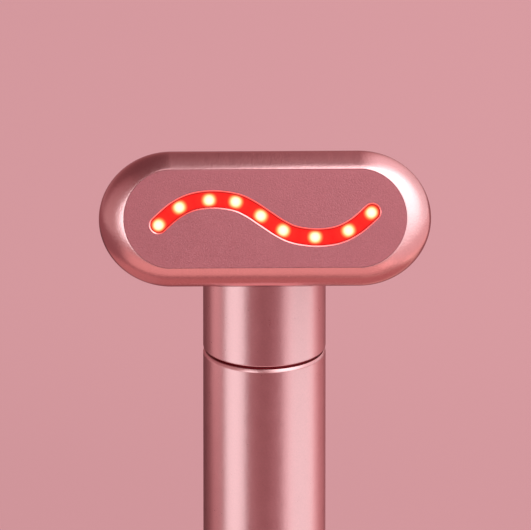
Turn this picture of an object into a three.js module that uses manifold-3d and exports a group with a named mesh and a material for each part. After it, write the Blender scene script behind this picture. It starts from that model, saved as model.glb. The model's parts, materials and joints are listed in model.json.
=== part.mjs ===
import * as THREE from 'three';
import { mergeVertices } from 'three/addons/utils/BufferGeometryUtils.js';
import Module from 'manifold-3d';

const wasm = await Module();
wasm.setup();

// A hand-held light wand: a round handle with a swivelling neck and a flat lit head.
// Lengths are in millimetres. The handle stands on z = 0 and the treatment face looks towards -Y.

// Clearances
const pushGap = 0.15; // round pieces pushed into each other
const seatGap = 0.3; // stacked pieces, and pieces cut to a neighbour
const turnGap = 0.25; // swivel sleeve in its bushing
const restGap = 0.1; // pieces resting on each other inside the tilted head
const overrun = 1; // how far a cutter runs past the face it cuts
const weldDistance = 0.0001;

// Roundness
const roundSides = 48;
const buttonSides = 32;
const smallSides = 16;
const cableSides = 12;
const cableSteps = 22;
const keySides = 6;
const endSteps = 12;
const arcSteps = 4;

// Handle tube
const handleRadius = 8.75;
const handleWall = 1.1;
const seamHeight = 118;
const seamGap = 0.35;
const topChamfer = 0.6;
const edgeBreak = 0.3;
const tubeBore = handleRadius - handleWall;

// End cap
const capHeight = 9;
const capFloor = 1.6;
const capSeam = 0.15;
const capEdgeRadius = 1;
const spigotHeight = 5;
const spigotWall = 1.1;
const spigotRadius = tubeBore - pushGap;
const capBore = spigotRadius - spigotWall;
const sealHeight = 1;
const sealDepth = 0.5;
const sealLift = 2; // groove above the cap's shoulder
const sealSlack = 0.05;
const spigotTop = capHeight + spigotHeight;

// Screws: head radius, head height, shank radius, key radius and key depth
const capScrew = { head: 1.9, headHeight: 1.1, shank: 0.95, key: 0.9, keyDepth: 0.6 };
const boardScrew = { head: 1.3, headHeight: 0.7, shank: 0.6, key: 0.6, keyDepth: 0.4 };
const screwDomeShare = 1 / 3; // of a screw head's height, rounded off
const capScrewRecess = 0.4;
const capBossWall = 0.8;
const capBossHeight = 2.4;
const chassisBossRadius = 2.4;
const capScrewGrip = 10;
const capScrewPlace = capBore - seatGap - chassisBossRadius; // distance behind the axis

// Swivel, measured down from the seam
const frictionRingHeight = 0.45;
const frictionRingRim = 0.35;
const bushingDrop = 0.4;
const bushingLength = 13;
const bushingWall = 3.05;
const sleeveWall = 1.4;
const sleeveTail = 2;
const sleeveFlangeGap = 0.45; // to the neck's wall
const sleeveFlangeHeight = 1.5;
const clipHeight = 1;
const clipReach = 1.4; // out from the sleeve
const clipGrooveDepth = 0.45;
const clipMouthDegrees = 70;
const stopPinRadius = 0.6;
const stopPinReach = 2.4; // into the bushing's slot
const stopSlotWall = 0.65;
const swivelDegrees = 90;
const stopMarginDegrees = 2.3;
const bushingTop = seamHeight - bushingDrop;
const bushingBottom = bushingTop - bushingLength;
const bushingRadius = tubeBore - pushGap;
const bushingBore = bushingRadius - bushingWall;
const sleeveRadius = bushingBore - turnGap;
const sleeveBore = sleeveRadius - sleeveWall;
const clipRadius = sleeveRadius + clipReach;
const sleeveBottom = bushingBottom - sleeveTail;
const stopSlotInner = bushingBore + stopSlotWall;
const stopSlotOuter = bushingRadius - stopSlotWall;
const stopPinPlace = (stopSlotInner + stopSlotOuter) / 2;

// Neck
const neckWall = 1.3;
const neckFloor = 2;
const neckStraight = 18; // seam to the start of the dome
const neckDome = 7;
const neckHeadWall = 1.6;
const neckBottom = seamHeight + seamGap;
const neckFloorTop = neckBottom + neckFloor;
const neckBore = sleeveRadius + pushGap;
const sleeveFlangeRadius = handleRadius - neckWall - sleeveFlangeGap;
const domeBase = seamHeight + neckStraight;

// Head outline and section
const tiltDegrees = 21;
const faceForward = 9; // face centre in front of the handle's axis
const faceRise = 22.9; // face centre above the seam
const headDepth = 10.2;
const rimSide = 2.55; // bevel width along the long sides
const rimEnd = 3.45; // bevel width at the round ends
const headSize = { halfLength: 23.6, halfHeight: 9.6, endLength: 10.3 };
const flatSize = {
  halfLength: headSize.halfLength - rimEnd,
  halfHeight: headSize.halfHeight - rimSide,
  endLength: headSize.endLength - rimEnd,
};
const bevelDepth = 2.9;
const bevelStartDegrees = 28;
const bezelDepth = 3.6;
const bezelWall = 1.4;
const lipWidth = 1.5;
const lipHeight = 1.2;
const landWidth = 0.15;
const shellWall = 1.2;
const shellFillet = 3;
const partingGap = 0.6;
const sealInset = 0.35;
const sealWidth = 0.75;

// Face plate, window and what lies behind them
const plateThickness = 1;
const plateGap = 0.1;
const windowHalfWidth = 1.05;
const windowFit = 0.12;
const windowRecess = 0.25;
const windowFlange = 0.5;
const windowFlangeHeight = 0.4;
const slotChamferWidth = 0.2;
const slotChamferDepth = 0.2;
const filmThickness = 0.2;
const ledWidth = 1.6;
const ledHeight = 0.4;
const ledLensRadius = 0.6;
const ledLensHeight = 0.25;
const ledBoardThickness = 1;
const contactPinRadius = 0.6;
const lipUnderside = plateThickness + seatGap + lipHeight;
const ledBoardTop = lipUnderside + seatGap;
const ledBoardBottom = ledBoardTop + ledBoardThickness;
const shellTop = bezelDepth + partingGap;
const shellFloor = headDepth - shellWall;

// Vibration motor in the head
const motorRadius = 1.9;
const motorLength = 8;
const motorOffset = 3.5; // near end of the can from the head's middle
const motorShaftRadius = 0.4;
const motorShaftLength = 5;
const motorShaftSink = 1.2;
const weightRadius = 1.7;
const weightLength = 3;
const weightGap = 0.6;
const weightHub = 0.8; // of the disc left above the shaft's axis
const strapThickness = 0.4;
const strapWidth = 3;
const strapFoot = 1.3;
const motorAcross = 3.2; // up the head from its middle
const motorDepth = shellFloor - seatGap - motorRadius;

// Handle interior, as shares of the length between the end cap and the swivel
const interiorLow = spigotTop + seatGap;
const swivelRoom = 1; // between the chassis and the swivel sleeve
const interiorHigh = sleeveBottom - swivelRoom;
const interiorShares = {
  lowerBlockTop: 0.125,
  middleShelf: 0.655,
  statusLight: 0.69,
  button: 0.774,
  upperBlock: 0.82,
  connector: 0.912,
  chargerChip: 0.2,
  inductor: 0.32,
  controllerChip: 0.53,
};
const shelfThickness = 2;
const upperBlockHeight = 4;
const chassisGap = 0.3;
const chassisRadius = tubeBore - chassisGap;
const railWeb = 0.6;
const railGrip = 0.8;
const railFront = 1.1;
const railBack = 3.5;

// Button, measured inwards from the handle's front
const buttonRadius = 3.7;
const buttonProud = 0.3;
const buttonTravel = 0.4;
const buttonFlange = 0.35;
const buttonFlangeHeight = 0.55;
const buttonGap = 0.15;
const ringWall = 0.7;
const ringProud = 0.15;
const ringDepth = 2.3;
const plungerRadius = 1;
const plungerSink = 0.25;
const plungerClearance = 0.2;
const switchHalfWidth = 2.1;
const switchHeight = 1.2;
const ringBore = buttonRadius + buttonGap;
const ringRadius = ringBore + ringWall;
const ringBack = handleRadius - ringDepth;
const buttonFlangeFront = ringBack - seatGap;
const buttonFlangeBack = buttonFlangeFront - buttonFlangeHeight;
const switchFront = buttonFlangeBack - buttonTravel - plungerClearance;

// Main board, under the switch; its faces' distances in front of the axis
const boardThickness = 0.8;
const boardFront = switchFront - switchHeight;
const boardBack = boardFront - boardThickness;
const boardMiddle = boardBack + boardThickness / 2;
const boardHalfWidth = Math.sqrt(chassisRadius ** 2 - boardFront ** 2) - railWeb;
const boardFootHalfWidth = Math.sqrt((capBore - seatGap) ** 2 - boardFront ** 2);
const boardScrewDepth = 3;

// Battery cell, filling the room between the board and the tube's back wall
const cellGap = 0.25;
const cellBoardGap = 0.4;
const cellRadius = (tubeBore - cellGap + boardBack - cellBoardGap) / 2;
const cellPlace = tubeBore - cellGap - cellRadius; // behind the axis
const cellRim = 0.4;
const cellCrimp = 1.2;
const cellNubRadius = 2.2;
const cellNubHeight = 0.5;
const tabThickness = 0.3;
const tabHalfWidth = 1.5;

// Charging socket
const socketHalfWidth = 4.47;
const socketHalfHeight = 1.63;
const socketLength = 7.35;
const socketWall = 0.3;
const socketBack = 1.2;
const socketRecess = 0.4;
const tongueHalfWidth = 3.35;
const tongueHalfHeight = 0.35;
const tongueRecess = 0.6;

// Status light
const lightPipeRadius = 0.65;
const lightPipeCollar = 0.5;
const lightPipeCollarHeight = 0.6;
const statusLedHeight = 0.6;
const statusLedHalfWidth = 0.8;

// Chips and connector on the board: half sizes and height off the board
const controllerChip = { halfWidth: 2.5, halfHeight: 2.5, height: 0.9 };
const chargerChip = { halfWidth: 1.5, halfHeight: 1.5, height: 0.8 };
const inductor = { halfWidth: 2, halfHeight: 2, height: 1.8 };
const leadReach = 0.5;
const leadHeight = 0.2;
const leadShare = 0.8; // of the chip's side, taken by its leads
const cornerShare = 1 / 3; // of the inductor's half width
const connectorHalfWidth = 3;
const connectorDepth = 4.2;
const connectorHeight = 4;

// Wiring that runs up the swivel's bore into the head
const harnessRadius = 1;
const harnessRoom = 0.5;
const harnessAcross = -4.5; // down the head from its middle
const harnessBend = 2.6;

// Screws between the neck and the head, and at the ends of the light board
const neckScrewSpan = 4.5;
const neckScrewAcross = -1.8;
const neckBossRadius = 1.9;
const neckBossLength = 3.9;
const bossFloor = 0.5;
const endScrewGrip = 0.9; // into the bezel's lip

const quarterTurn = Math.PI / 2;
const tilt = THREE.MathUtils.degToRad(tiltDegrees);

// The head's own frame: x along the head, y up the face, z out of the face, zero at the face's centre.
const headFrame = new THREE.Matrix4()
  .makeRotationX(quarterTurn - tilt)
  .setPosition(0, -faceForward, seamHeight + faceRise);
const headFrameInverse = headFrame.clone().invert();

const finishes = {
  satinMetal: { color: 0xc98a8c, roughness: 0.36, metalness: 0.9 },
  blastedPlate: { color: 0xb0696f, roughness: 0.55, metalness: 0.85 },
  litWindow: { color: 0xff2a20, roughness: 0.25, metalness: 0, emissive: 0xff2010 },
  ledBody: { color: 0xfff3c8, roughness: 0.4, metalness: 0, emissive: 0xffd080 },
  circuitBoard: { color: 0x14512f, roughness: 0.5, metalness: 0 },
  blackPlastic: { color: 0x1b1b1d, roughness: 0.5, metalness: 0 },
  innerPlastic: { color: 0xd8d4d0, roughness: 0.6, metalness: 0 },
  softRubber: { color: 0x2a2526, roughness: 0.8, metalness: 0 },
  plainSteel: { color: 0xb9bbbe, roughness: 0.3, metalness: 1 },
  brightNickel: { color: 0xd2cdc4, roughness: 0.25, metalness: 1 },
  brass: { color: 0xc9a45a, roughness: 0.35, metalness: 1 },
  slipRing: { color: 0xe9e6df, roughness: 0.5, metalness: 0 },
  cellWrap: { color: 0x2f6fb0, roughness: 0.45, metalness: 0 },
  heaterFilm: { color: 0xb8722c, roughness: 0.4, metalness: 0.2 },
  clearPlastic: { color: 0xf2dede, roughness: 0.15, metalness: 0 },
};
const materials = {};
for (const [name, finish] of Object.entries(finishes)) {
  materials[name] = new THREE.MeshStandardMaterial({ ...finish, name });
}

// Turns a closed geometry into a solid that can be joined and cut.
function asSolid(shape) {
  if (!shape.isBufferGeometry) {
    return shape;
  }
  const bare = shape.clone();
  bare.deleteAttribute('normal');
  bare.deleteAttribute('uv');
  const welded = mergeVertices(bare, weldDistance);
  const corners = welded.index.array;
  const kept = [];
  for (let i = 0; i < corners.length; i += 3) {
    const [a, b, c] = corners.slice(i, i + 3);
    if (a !== b && b !== c && c !== a) {
      kept.push(a, b, c);
    }
  }
  return new wasm.Manifold(new wasm.Mesh({
    numProp: 3,
    vertProperties: new Float32Array(welded.attributes.position.array),
    triVerts: new Uint32Array(kept),
  }));
}

function join(first, ...others) {
  return others.reduce((sum, other) => sum.add(asSolid(other)), asSolid(first));
}

function cut(base, ...tools) {
  return tools.reduce((left, tool) => left.subtract(asSolid(tool)), asSolid(base));
}

function common(first, second) {
  return asSolid(first).intersect(asSolid(second));
}

function piece(name, shape, material) {
  const mesh = asSolid(shape).getMesh();
  const geometry = new THREE.BufferGeometry();
  geometry.setAttribute('position', new THREE.BufferAttribute(mesh.vertProperties, 3));
  geometry.setIndex(new THREE.BufferAttribute(mesh.triVerts, 1));
  geometry.computeVertexNormals();
  const part = new THREE.Mesh(geometry, material);
  part.name = name;
  return part;
}

// A solid of revolution about z from [radius, height] pairs.
function turned(profile, sides = roundSides) {
  const points = profile.map(([radius, height]) => new THREE.Vector2(radius, height));
  return new THREE.LatheGeometry(points, sides).rotateX(quarterTurn);
}

function ring(innerRadius, outerRadius, low, high, sides = roundSides) {
  return turned([
    [innerRadius, low], [outerRadius, low], [outerRadius, high], [innerRadius, high], [innerRadius, low],
  ], sides);
}

const layAlong = {
  x: (geometry) => geometry.rotateZ(quarterTurn),
  y: (geometry) => geometry,
  z: (geometry) => geometry.rotateX(quarterTurn),
};

// A round bar along one axis from low to high; place gives its other two coordinates.
function rod(axis, radius, low, high, place = {}, sides = smallSides) {
  const geometry = layAlong[axis](new THREE.CylinderGeometry(radius, radius, high - low, sides));
  const centre = { x: 0, y: 0, z: 0, ...place, [axis]: (low + high) / 2 };
  return geometry.translate(centre.x, centre.y, centre.z);
}

function block([lowX, highX], [lowY, highY], [lowZ, highZ]) {
  return new THREE.BoxGeometry(highX - lowX, highY - lowY, highZ - lowZ)
    .translate((lowX + highX) / 2, (lowY + highY) / 2, (lowZ + highZ) / 2);
}

// A closed solid through outlines with the same number of points, listed from the lowest level up.
function loft(levels) {
  const count = levels[0].outline.length;
  const places = levels.flatMap(({ outline, z }) => outline.flatMap((point) => [point.x, point.y, z]));
  const corners = [];
  for (let level = 1; level < levels.length; level += 1) {
    for (let i = 0; i < count; i += 1) {
      const next = (i + 1) % count;
      const [low, high] = [(level - 1) * count, level * count];
      corners.push(low + i, low + next, high + next, low + i, high + next, high + i);
    }
  }
  for (const [a, b, c] of THREE.ShapeUtils.triangulateShape([...levels[0].outline], [])) {
    corners.push(c, b, a);
  }
  const last = (levels.length - 1) * count;
  for (const [a, b, c] of THREE.ShapeUtils.triangulateShape([...levels.at(-1).outline], [])) {
    corners.push(last + a, last + b, last + c);
  }
  const geometry = new THREE.BufferGeometry();
  geometry.setAttribute('position', new THREE.Float32BufferAttribute(places, 3));
  geometry.setIndex(corners);
  return geometry;
}

function prism(outline, low, high) {
  return loft([{ outline, z: low }, { outline, z: high }]);
}

// Straight sides with elliptical ends, anticlockwise.
function capsule({ halfLength, halfHeight, endLength }) {
  const points = [];
  for (const side of [1, -1]) {
    for (let step = 0; step <= endSteps; step += 1) {
      const angle = Math.PI * (step / endSteps) - quarterTurn;
      points.push(new THREE.Vector2(
        side * (halfLength - endLength + endLength * Math.cos(angle)),
        side * halfHeight * Math.sin(angle),
      ));
    }
  }
  return points;
}

function grown({ halfLength, halfHeight, endLength }, by) {
  return { halfLength: halfLength + by, halfHeight: halfHeight + by, endLength: endLength + by };
}

function between(inner, outer, share) {
  return {
    halfLength: inner.halfLength + (outer.halfLength - inner.halfLength) * share,
    halfHeight: inner.halfHeight + (outer.halfHeight - inner.halfHeight) * share,
    endLength: inner.endLength + (outer.endLength - inner.endLength) * share,
  };
}

// A cap screw with a hexagon key hole: the head's outer face lies at z = 0 and the shank points down.
function screwShape({ head, headHeight, shank, key, keyDepth }, shankLength) {
  const tip = shank / 2;
  const body = turned([
    [0, -headHeight - shankLength], [tip, -headHeight - shankLength],
    [shank, -headHeight - shankLength + tip], [shank, -headHeight], [head, -headHeight],
    [head, -headHeight * screwDomeShare], [head - headHeight * screwDomeShare, 0], [0, 0],
  ], smallSides);
  const keyHole = rod('z', key, -keyDepth, overrun, {}, keySides);
  return cut(body, keyHole);
}

// Centreline of the lit wave, as shares of the face's half length and half height.
const waveHalfShares = [
  [0.109, 0.205], [0.213, 0.334], [0.367, 0.389], [0.516, 0.334], [0.64, 0.16], [0.754, -0.12],
];
const waveShares = [
  ...waveHalfShares.map(([along, across]) => [-along, across]).reverse(),
  [0, 0],
  ...waveHalfShares.map(([along, across]) => [along, -across]),
];
const wave = new THREE.SplineCurve(waveShares.map(([along, across]) => new THREE.Vector2(
  along * flatSize.halfLength,
  across * flatSize.halfHeight,
)));
const waveSteps = 28;
const waveEndSteps = 6;

// The wave as a band of one width with round ends, anticlockwise.
function waveOutline(halfWidth) {
  const below = [];
  const above = [];
  for (let step = 0; step <= waveSteps; step += 1) {
    const centre = wave.getPointAt(step / waveSteps);
    const run = wave.getTangentAt(step / waveSteps);
    below.push(new THREE.Vector2(centre.x + run.y * halfWidth, centre.y - run.x * halfWidth));
    above.unshift(new THREE.Vector2(centre.x - run.y * halfWidth, centre.y + run.x * halfWidth));
  }
  const endArc = (share, turn) => {
    const centre = wave.getPointAt(share);
    const heading = wave.getTangentAt(share).angle() + turn;
    const points = [];
    for (let step = 1; step < waveEndSteps; step += 1) {
      const angle = heading + Math.PI * (step / waveEndSteps) - quarterTurn;
      points.push(new THREE.Vector2(
        centre.x + halfWidth * Math.cos(angle),
        centre.y + halfWidth * Math.sin(angle),
      ));
    }
    return points;
  };
  return [...below, ...endArc(1, 0), ...above, ...endArc(0, Math.PI)];
}

// Lights behind the wave, as shares of the face's half length and half height.
const lightShares = [
  [-0.752, -0.127], [-0.605, 0.233], [-0.395, 0.375], [-0.207, 0.342], [-0.031, 0.054],
  [0.126, -0.243], [0.351, -0.378], [0.586, -0.25], [0.749, 0.108],
];
const contactPinShares = [0.42, 0.45];

const interiorHeight = (share) => interiorLow + share * (interiorHigh - interiorLow);
const buttonHeight = interiorHeight(interiorShares.button);
const statusHeight = interiorHeight(interiorShares.statusLight);
const lowerBlockTop = interiorHeight(interiorShares.lowerBlockTop);
const middleShelf = interiorHeight(interiorShares.middleShelf);
const upperBlock = interiorHeight(interiorShares.upperBlock);
const connectorFoot = interiorHeight(interiorShares.connector);
const upperScrewHeight = upperBlock + upperBlockHeight / 2;
const lowerScrewHeight = (interiorLow + lowerBlockTop) / 2;

// Where the wiring turns from the handle's axis to the head's depth direction.
const harnessTurn = new THREE.Vector3(0, harnessAcross, 0).applyMatrix4(headFrame);
const headOut = new THREE.Vector3(0, -Math.cos(tilt), Math.sin(tilt));
harnessTurn.addScaledVector(headOut, -harnessTurn.y / headOut.y);

function harnessPath() {
  const path = new THREE.CurvePath();
  const start = new THREE.Vector3(0, 0, connectorFoot + connectorHeight + seatGap);
  const bendStart = harnessTurn.clone().setZ(harnessTurn.z - harnessBend);
  const bendEnd = harnessTurn.clone().addScaledVector(headOut, harnessBend);
  const end = new THREE.Vector3(0, harnessAcross, -ledBoardBottom - seatGap).applyMatrix4(headFrame);
  path.add(new THREE.LineCurve3(start, bendStart));
  path.add(new THREE.QuadraticBezierCurve3(bendStart, harnessTurn, bendEnd));
  path.add(new THREE.LineCurve3(bendEnd, end));
  return path;
}

function harnessTube(radius) {
  const section = new THREE.Shape().absarc(0, 0, radius, 0, 2 * Math.PI);
  return new THREE.ExtrudeGeometry(section, {
    steps: cableSteps,
    curveSegments: cableSides / 2,
    extrudePath: harnessPath(),
  });
}

// The head's outside behind the bevel, grown or shrunk all round, from its back up to one level.
function headBody(by, top) {
  const levels = [];
  for (let step = 0; step <= arcSteps; step += 1) {
    const angle = quarterTurn * (step / arcSteps);
    levels.push({
      outline: capsule(grown(headSize, (shellFillet + by) * Math.sin(angle) - shellFillet)),
      z: shellFillet - headDepth - (shellFillet + by) * Math.cos(angle),
    });
  }
  levels.push({ outline: capsule(grown(headSize, by)), z: top });
  return loft(levels);
}

function domePoints(radius, height) {
  const points = [];
  for (let step = 0; step <= arcSteps * 2; step += 1) {
    const angle = quarterTurn * (step / (arcSteps * 2));
    points.push([radius * Math.cos(angle), domeBase + height * Math.sin(angle)]);
  }
  points[points.length - 1][0] = 0;
  return points;
}

function makeHandleTube() {
  const bottom = capHeight + capSeam;
  const tube = turned([
    [tubeBore, bottom], [handleRadius - edgeBreak, bottom], [handleRadius, bottom + edgeBreak],
    [handleRadius, seamHeight - topChamfer], [handleRadius - topChamfer, seamHeight],
    [tubeBore, seamHeight], [tubeBore, bottom],
  ]);
  const front = -handleRadius - overrun;
  const buttonHole = rod('y', ringRadius + pushGap, front, 0, { z: buttonHeight }, buttonSides);
  const lightHole = rod('y', lightPipeRadius + pushGap, front, 0, { z: statusHeight });
  return piece('handle_tube', cut(tube, buttonHole, lightHole), materials.satinMetal);
}

function makeEndCap() {
  const edge = [];
  for (let step = 0; step <= arcSteps; step += 1) {
    const angle = quarterTurn * (step / arcSteps);
    edge.push([
      handleRadius - capEdgeRadius + capEdgeRadius * Math.sin(angle),
      capEdgeRadius - capEdgeRadius * Math.cos(angle),
    ]);
  }
  const groove = capHeight + sealLift;
  const cup = turned([
    [0, 0], ...edge, [handleRadius, capHeight], [spigotRadius, capHeight],
    [spigotRadius, groove], [spigotRadius - sealDepth, groove],
    [spigotRadius - sealDepth, groove + sealHeight], [spigotRadius, groove + sealHeight],
    [spigotRadius, spigotTop], [capBore, spigotTop], [capBore, capFloor], [0, capFloor],
  ]);
  const counterbore = capScrewRecess + capScrew.headHeight;
  const bossRadius = capScrew.head + pushGap + capBossWall;
  const boss = rod('z', bossRadius, 0, capFloor + capBossHeight, { y: capScrewPlace });
  const bossInCup = common(boss, rod('z', handleRadius - capEdgeRadius, capEdgeRadius, spigotTop));
  const headHole = rod('z', capScrew.head + pushGap, -overrun, counterbore, { y: capScrewPlace });
  const shankHole = rod('z', capScrew.shank + pushGap, 0, spigotTop, { y: capScrewPlace });
  const socketHole = prism(capsule({
    halfLength: socketHalfWidth + pushGap,
    halfHeight: socketHalfHeight + pushGap,
    endLength: socketHalfHeight + pushGap,
  }), -overrun, socketRecess + socketLength + seatGap).translate(0, -boardMiddle, 0);
  return piece('end_cap', cut(join(cup, bossInCup), headHole, shankHole, socketHole), materials.satinMetal);
}

function makeEndCapSeal() {
  const low = capHeight + sealLift + sealSlack;
  const inner = spigotRadius - sealDepth + sealSlack;
  const high = low + sealHeight - 2 * sealSlack;
  return piece('end_cap_seal', ring(inner, tubeBore - sealSlack, low, high), materials.softRubber);
}

function makeEndCapScrew() {
  const part = piece('end_cap_screw', screwShape(capScrew, capScrewGrip), materials.plainSteel);
  part.rotation.x = Math.PI;
  part.position.set(0, capScrewPlace, capScrewRecess);
  return part;
}

function makeChassis() {
  const bossFoot = capFloor + capBossHeight + seatGap;
  const full = [interiorLow, interiorHigh];
  const blockFront = seatGap - boardBack;
  const railInner = boardHalfWidth - railGrip;
  const shelfFoot = interiorHigh - shelfThickness;
  const rails = [-1, 1].map((side) => {
    const span = [side * railInner, side * chassisRadius].sort((a, b) => a - b);
    return block(span, [-boardFront - railFront, railBack], full);
  });
  const crossings = [
    [interiorLow, lowerBlockTop],
    [middleShelf, middleShelf + shelfThickness],
    [upperBlock, upperBlock + upperBlockHeight],
    [shelfFoot, interiorHigh],
  ].map((span) => block([-chassisRadius, chassisRadius], [blockFront, chassisRadius], span));
  const frame = common(join(...rails, ...crossings), rod('z', chassisRadius, ...full, {}, roundSides));
  const boss = rod('z', chassisBossRadius, bossFoot, lowerBlockTop, { y: capScrewPlace });
  const screwTip = capScrewRecess + capScrew.headHeight + capScrewGrip;
  const boardSlot = block(
    [-boardHalfWidth - pushGap, boardHalfWidth + pushGap],
    [-boardFront - pushGap, pushGap - boardBack],
    [interiorLow - overrun, interiorHigh + overrun],
  );
  const cellBay = rod('z', cellRadius + cellGap, lowerBlockTop, middleShelf, { y: cellPlace }, roundSides);
  const screwHole = rod('z', capScrew.shank + pushGap, 0, screwTip + seatGap, { y: capScrewPlace });
  const boardScrewHoles = [lowerScrewHeight, upperScrewHeight].map((z) => rod(
    'y', boardScrew.shank + pushGap, -boardFront, boardScrewDepth - boardBack + seatGap, { z },
  ));
  const harnessHole = rod('z', harnessRadius + harnessRoom, shelfFoot - overrun, interiorHigh + overrun);
  return piece(
    'chassis',
    cut(join(frame, boss), boardSlot, cellBay, screwHole, ...boardScrewHoles, harnessHole),
    materials.innerPlastic,
  );
}

function makeMainBoard() {
  const foot = socketRecess + socketLength + seatGap;
  const shoulder = interiorLow;
  const top = interiorHigh;
  const outline = [
    [-boardFootHalfWidth, foot], [boardFootHalfWidth, foot], [boardFootHalfWidth, shoulder],
    [boardHalfWidth, shoulder], [boardHalfWidth, top], [-boardHalfWidth, top],
    [-boardHalfWidth, shoulder], [-boardFootHalfWidth, shoulder],
  ].map(([x, z]) => new THREE.Vector2(x, z));
  const board = prism(outline, boardBack, boardFront).rotateX(quarterTurn);
  const screwHoles = [lowerScrewHeight, upperScrewHeight].map((z) => rod(
    'y', boardScrew.shank + pushGap, -boardFront - overrun, overrun - boardBack, { z },
  ));
  return piece('main_board', cut(board, ...screwHoles), materials.circuitBoard);
}

function makeBoardScrews() {
  const shank = boardThickness + boardScrewDepth;
  const places = [['board_screw_lower', lowerScrewHeight], ['board_screw_upper', upperScrewHeight]];
  return places.map(([name, z]) => {
    const part = piece(name, screwShape(boardScrew, shank), materials.plainSteel);
    part.rotation.x = quarterTurn;
    part.position.set(0, -boardFront - boardScrew.headHeight, z);
    return part;
  });
}

function makeBattery() {
  const low = lowerBlockTop + 2 * seatGap + tabThickness;
  const top = middleShelf - 2 * seatGap - tabThickness;
  const shoulder = top - cellNubHeight;
  const cell = piece('battery_cell', turned([
    [0, low], [cellRadius - cellRim, low], [cellRadius, low + cellRim],
    [cellRadius, shoulder - 2 * cellCrimp], [cellRadius - cellRim, shoulder - cellCrimp],
    [cellRadius, shoulder - cellCrimp / 2], [cellRadius - cellRim, shoulder],
    [cellNubRadius, shoulder], [cellNubRadius, top], [0, top],
  ], buttonSides), materials.cellWrap);
  cell.position.y = cellPlace;
  const tabs = [
    ['battery_tab_negative', lowerBlockTop + seatGap],
    ['battery_tab_positive', top + seatGap],
  ].map(([name, z]) => {
    const span = [z, z + tabThickness];
    const pad = rod('z', cellNubRadius, ...span, { y: cellPlace });
    const strip = block([-tabHalfWidth, tabHalfWidth], [seatGap - boardBack, cellPlace], span);
    return piece(name, join(pad, strip), materials.brightNickel);
  });
  return [cell, ...tabs];
}

// A packaged chip on the board's front face, with its rows of leads as one thin plate.
function makeChip(name, { halfWidth, halfHeight, height }, z) {
  const body = block(
    [-halfWidth, halfWidth],
    [-boardFront - height, -boardFront],
    [z - halfHeight, z + halfHeight],
  );
  const leads = block(
    [-halfWidth - leadReach, halfWidth + leadReach],
    [-boardFront - leadHeight, -boardFront],
    [z - halfHeight * leadShare, z + halfHeight * leadShare],
  );
  return piece(name, join(body, leads), materials.blackPlastic);
}

function makeInductor() {
  const { halfWidth, halfHeight, height } = inductor;
  const corner = halfWidth * cornerShare;
  const z = interiorHeight(interiorShares.inductor);
  const outline = [
    [halfWidth, -halfHeight + corner], [halfWidth, halfHeight - corner], [halfWidth - corner, halfHeight],
    [corner - halfWidth, halfHeight], [-halfWidth, halfHeight - corner], [-halfWidth, corner - halfHeight],
    [corner - halfWidth, -halfHeight], [halfWidth - corner, -halfHeight],
  ].map(([x, across]) => new THREE.Vector2(x, across + z));
  const body = prism(outline, boardFront, boardFront + height).rotateX(quarterTurn);
  return piece('power_inductor', body, materials.blackPlastic);
}

function makeConnector() {
  const rear = connectorDepth - boardBack;
  const body = block(
    [-connectorHalfWidth, connectorHalfWidth],
    [-boardBack, rear],
    [connectorFoot, connectorFoot + connectorHeight],
  );
  const mouth = block(
    [-connectorHalfWidth + harnessRoom, connectorHalfWidth - harnessRoom],
    [-harnessRadius, rear - harnessRoom],
    [connectorFoot + connectorHeight - harnessRoom, connectorFoot + connectorHeight + overrun],
  );
  return piece('board_connector', cut(body, mouth), materials.innerPlastic);
}

function makeSocket() {
  const back = socketRecess + socketLength;
  const outside = { halfLength: socketHalfWidth, halfHeight: socketHalfHeight, endLength: socketHalfHeight };
  const shell = cut(
    prism(capsule(outside), socketRecess, back),
    prism(capsule(grown(outside, -socketWall)), socketRecess - overrun, back - socketBack),
  );
  const socket = piece('usb_socket', shell, materials.plainSteel);
  const tongue = piece('usb_tongue', block(
    [-tongueHalfWidth, tongueHalfWidth],
    [-tongueHalfHeight, tongueHalfHeight],
    [socketRecess + tongueRecess, back - socketBack - seatGap],
  ), materials.blackPlastic);
  for (const part of [socket, tongue]) {
    part.position.y = -boardMiddle;
  }
  return [socket, tongue];
}

function makeButtonTrimRing() {
  const z = buttonHeight;
  const tube = cut(
    rod('y', ringRadius, -handleRadius - overrun, -ringBack, { z }, buttonSides),
    rod('y', ringBore, -handleRadius - 2 * overrun, 0, { z }, buttonSides),
  );
  const outside = rod('z', handleRadius + ringProud, z - 2 * ringRadius, z + 2 * ringRadius, {}, roundSides);
  return piece('button_trim_ring', common(tube, outside), materials.satinMetal);
}

function makePowerButton() {
  const z = buttonHeight;
  const face = common(
    rod('y', buttonRadius, -handleRadius - overrun, -buttonFlangeBack, { z }, buttonSides),
    rod('z', handleRadius + buttonProud, z - 2 * ringRadius, z + 2 * ringRadius, {}, roundSides),
  );
  const flange = rod('y', ringBore + buttonFlange, -buttonFlangeFront, -buttonFlangeBack, { z }, buttonSides);
  return piece('power_button', join(face, flange), materials.satinMetal);
}

function makeSwitch() {
  const z = buttonHeight;
  const holeBack = switchFront - plungerSink - buttonTravel - plungerClearance / 2;
  const body = cut(
    block(
      [-switchHalfWidth, switchHalfWidth],
      [-switchFront, -boardFront],
      [z - switchHalfWidth, z + switchHalfWidth],
    ),
    rod('y', plungerRadius + pushGap, -switchFront - overrun, -holeBack, { z }),
  );
  const plunger = rod('y', plungerRadius, seatGap - buttonFlangeBack, plungerSink - switchFront, { z });
  return {
    body: piece('switch_body', body, materials.blackPlastic),
    plunger: piece('switch_plunger', plunger, materials.innerPlastic),
  };
}

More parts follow.
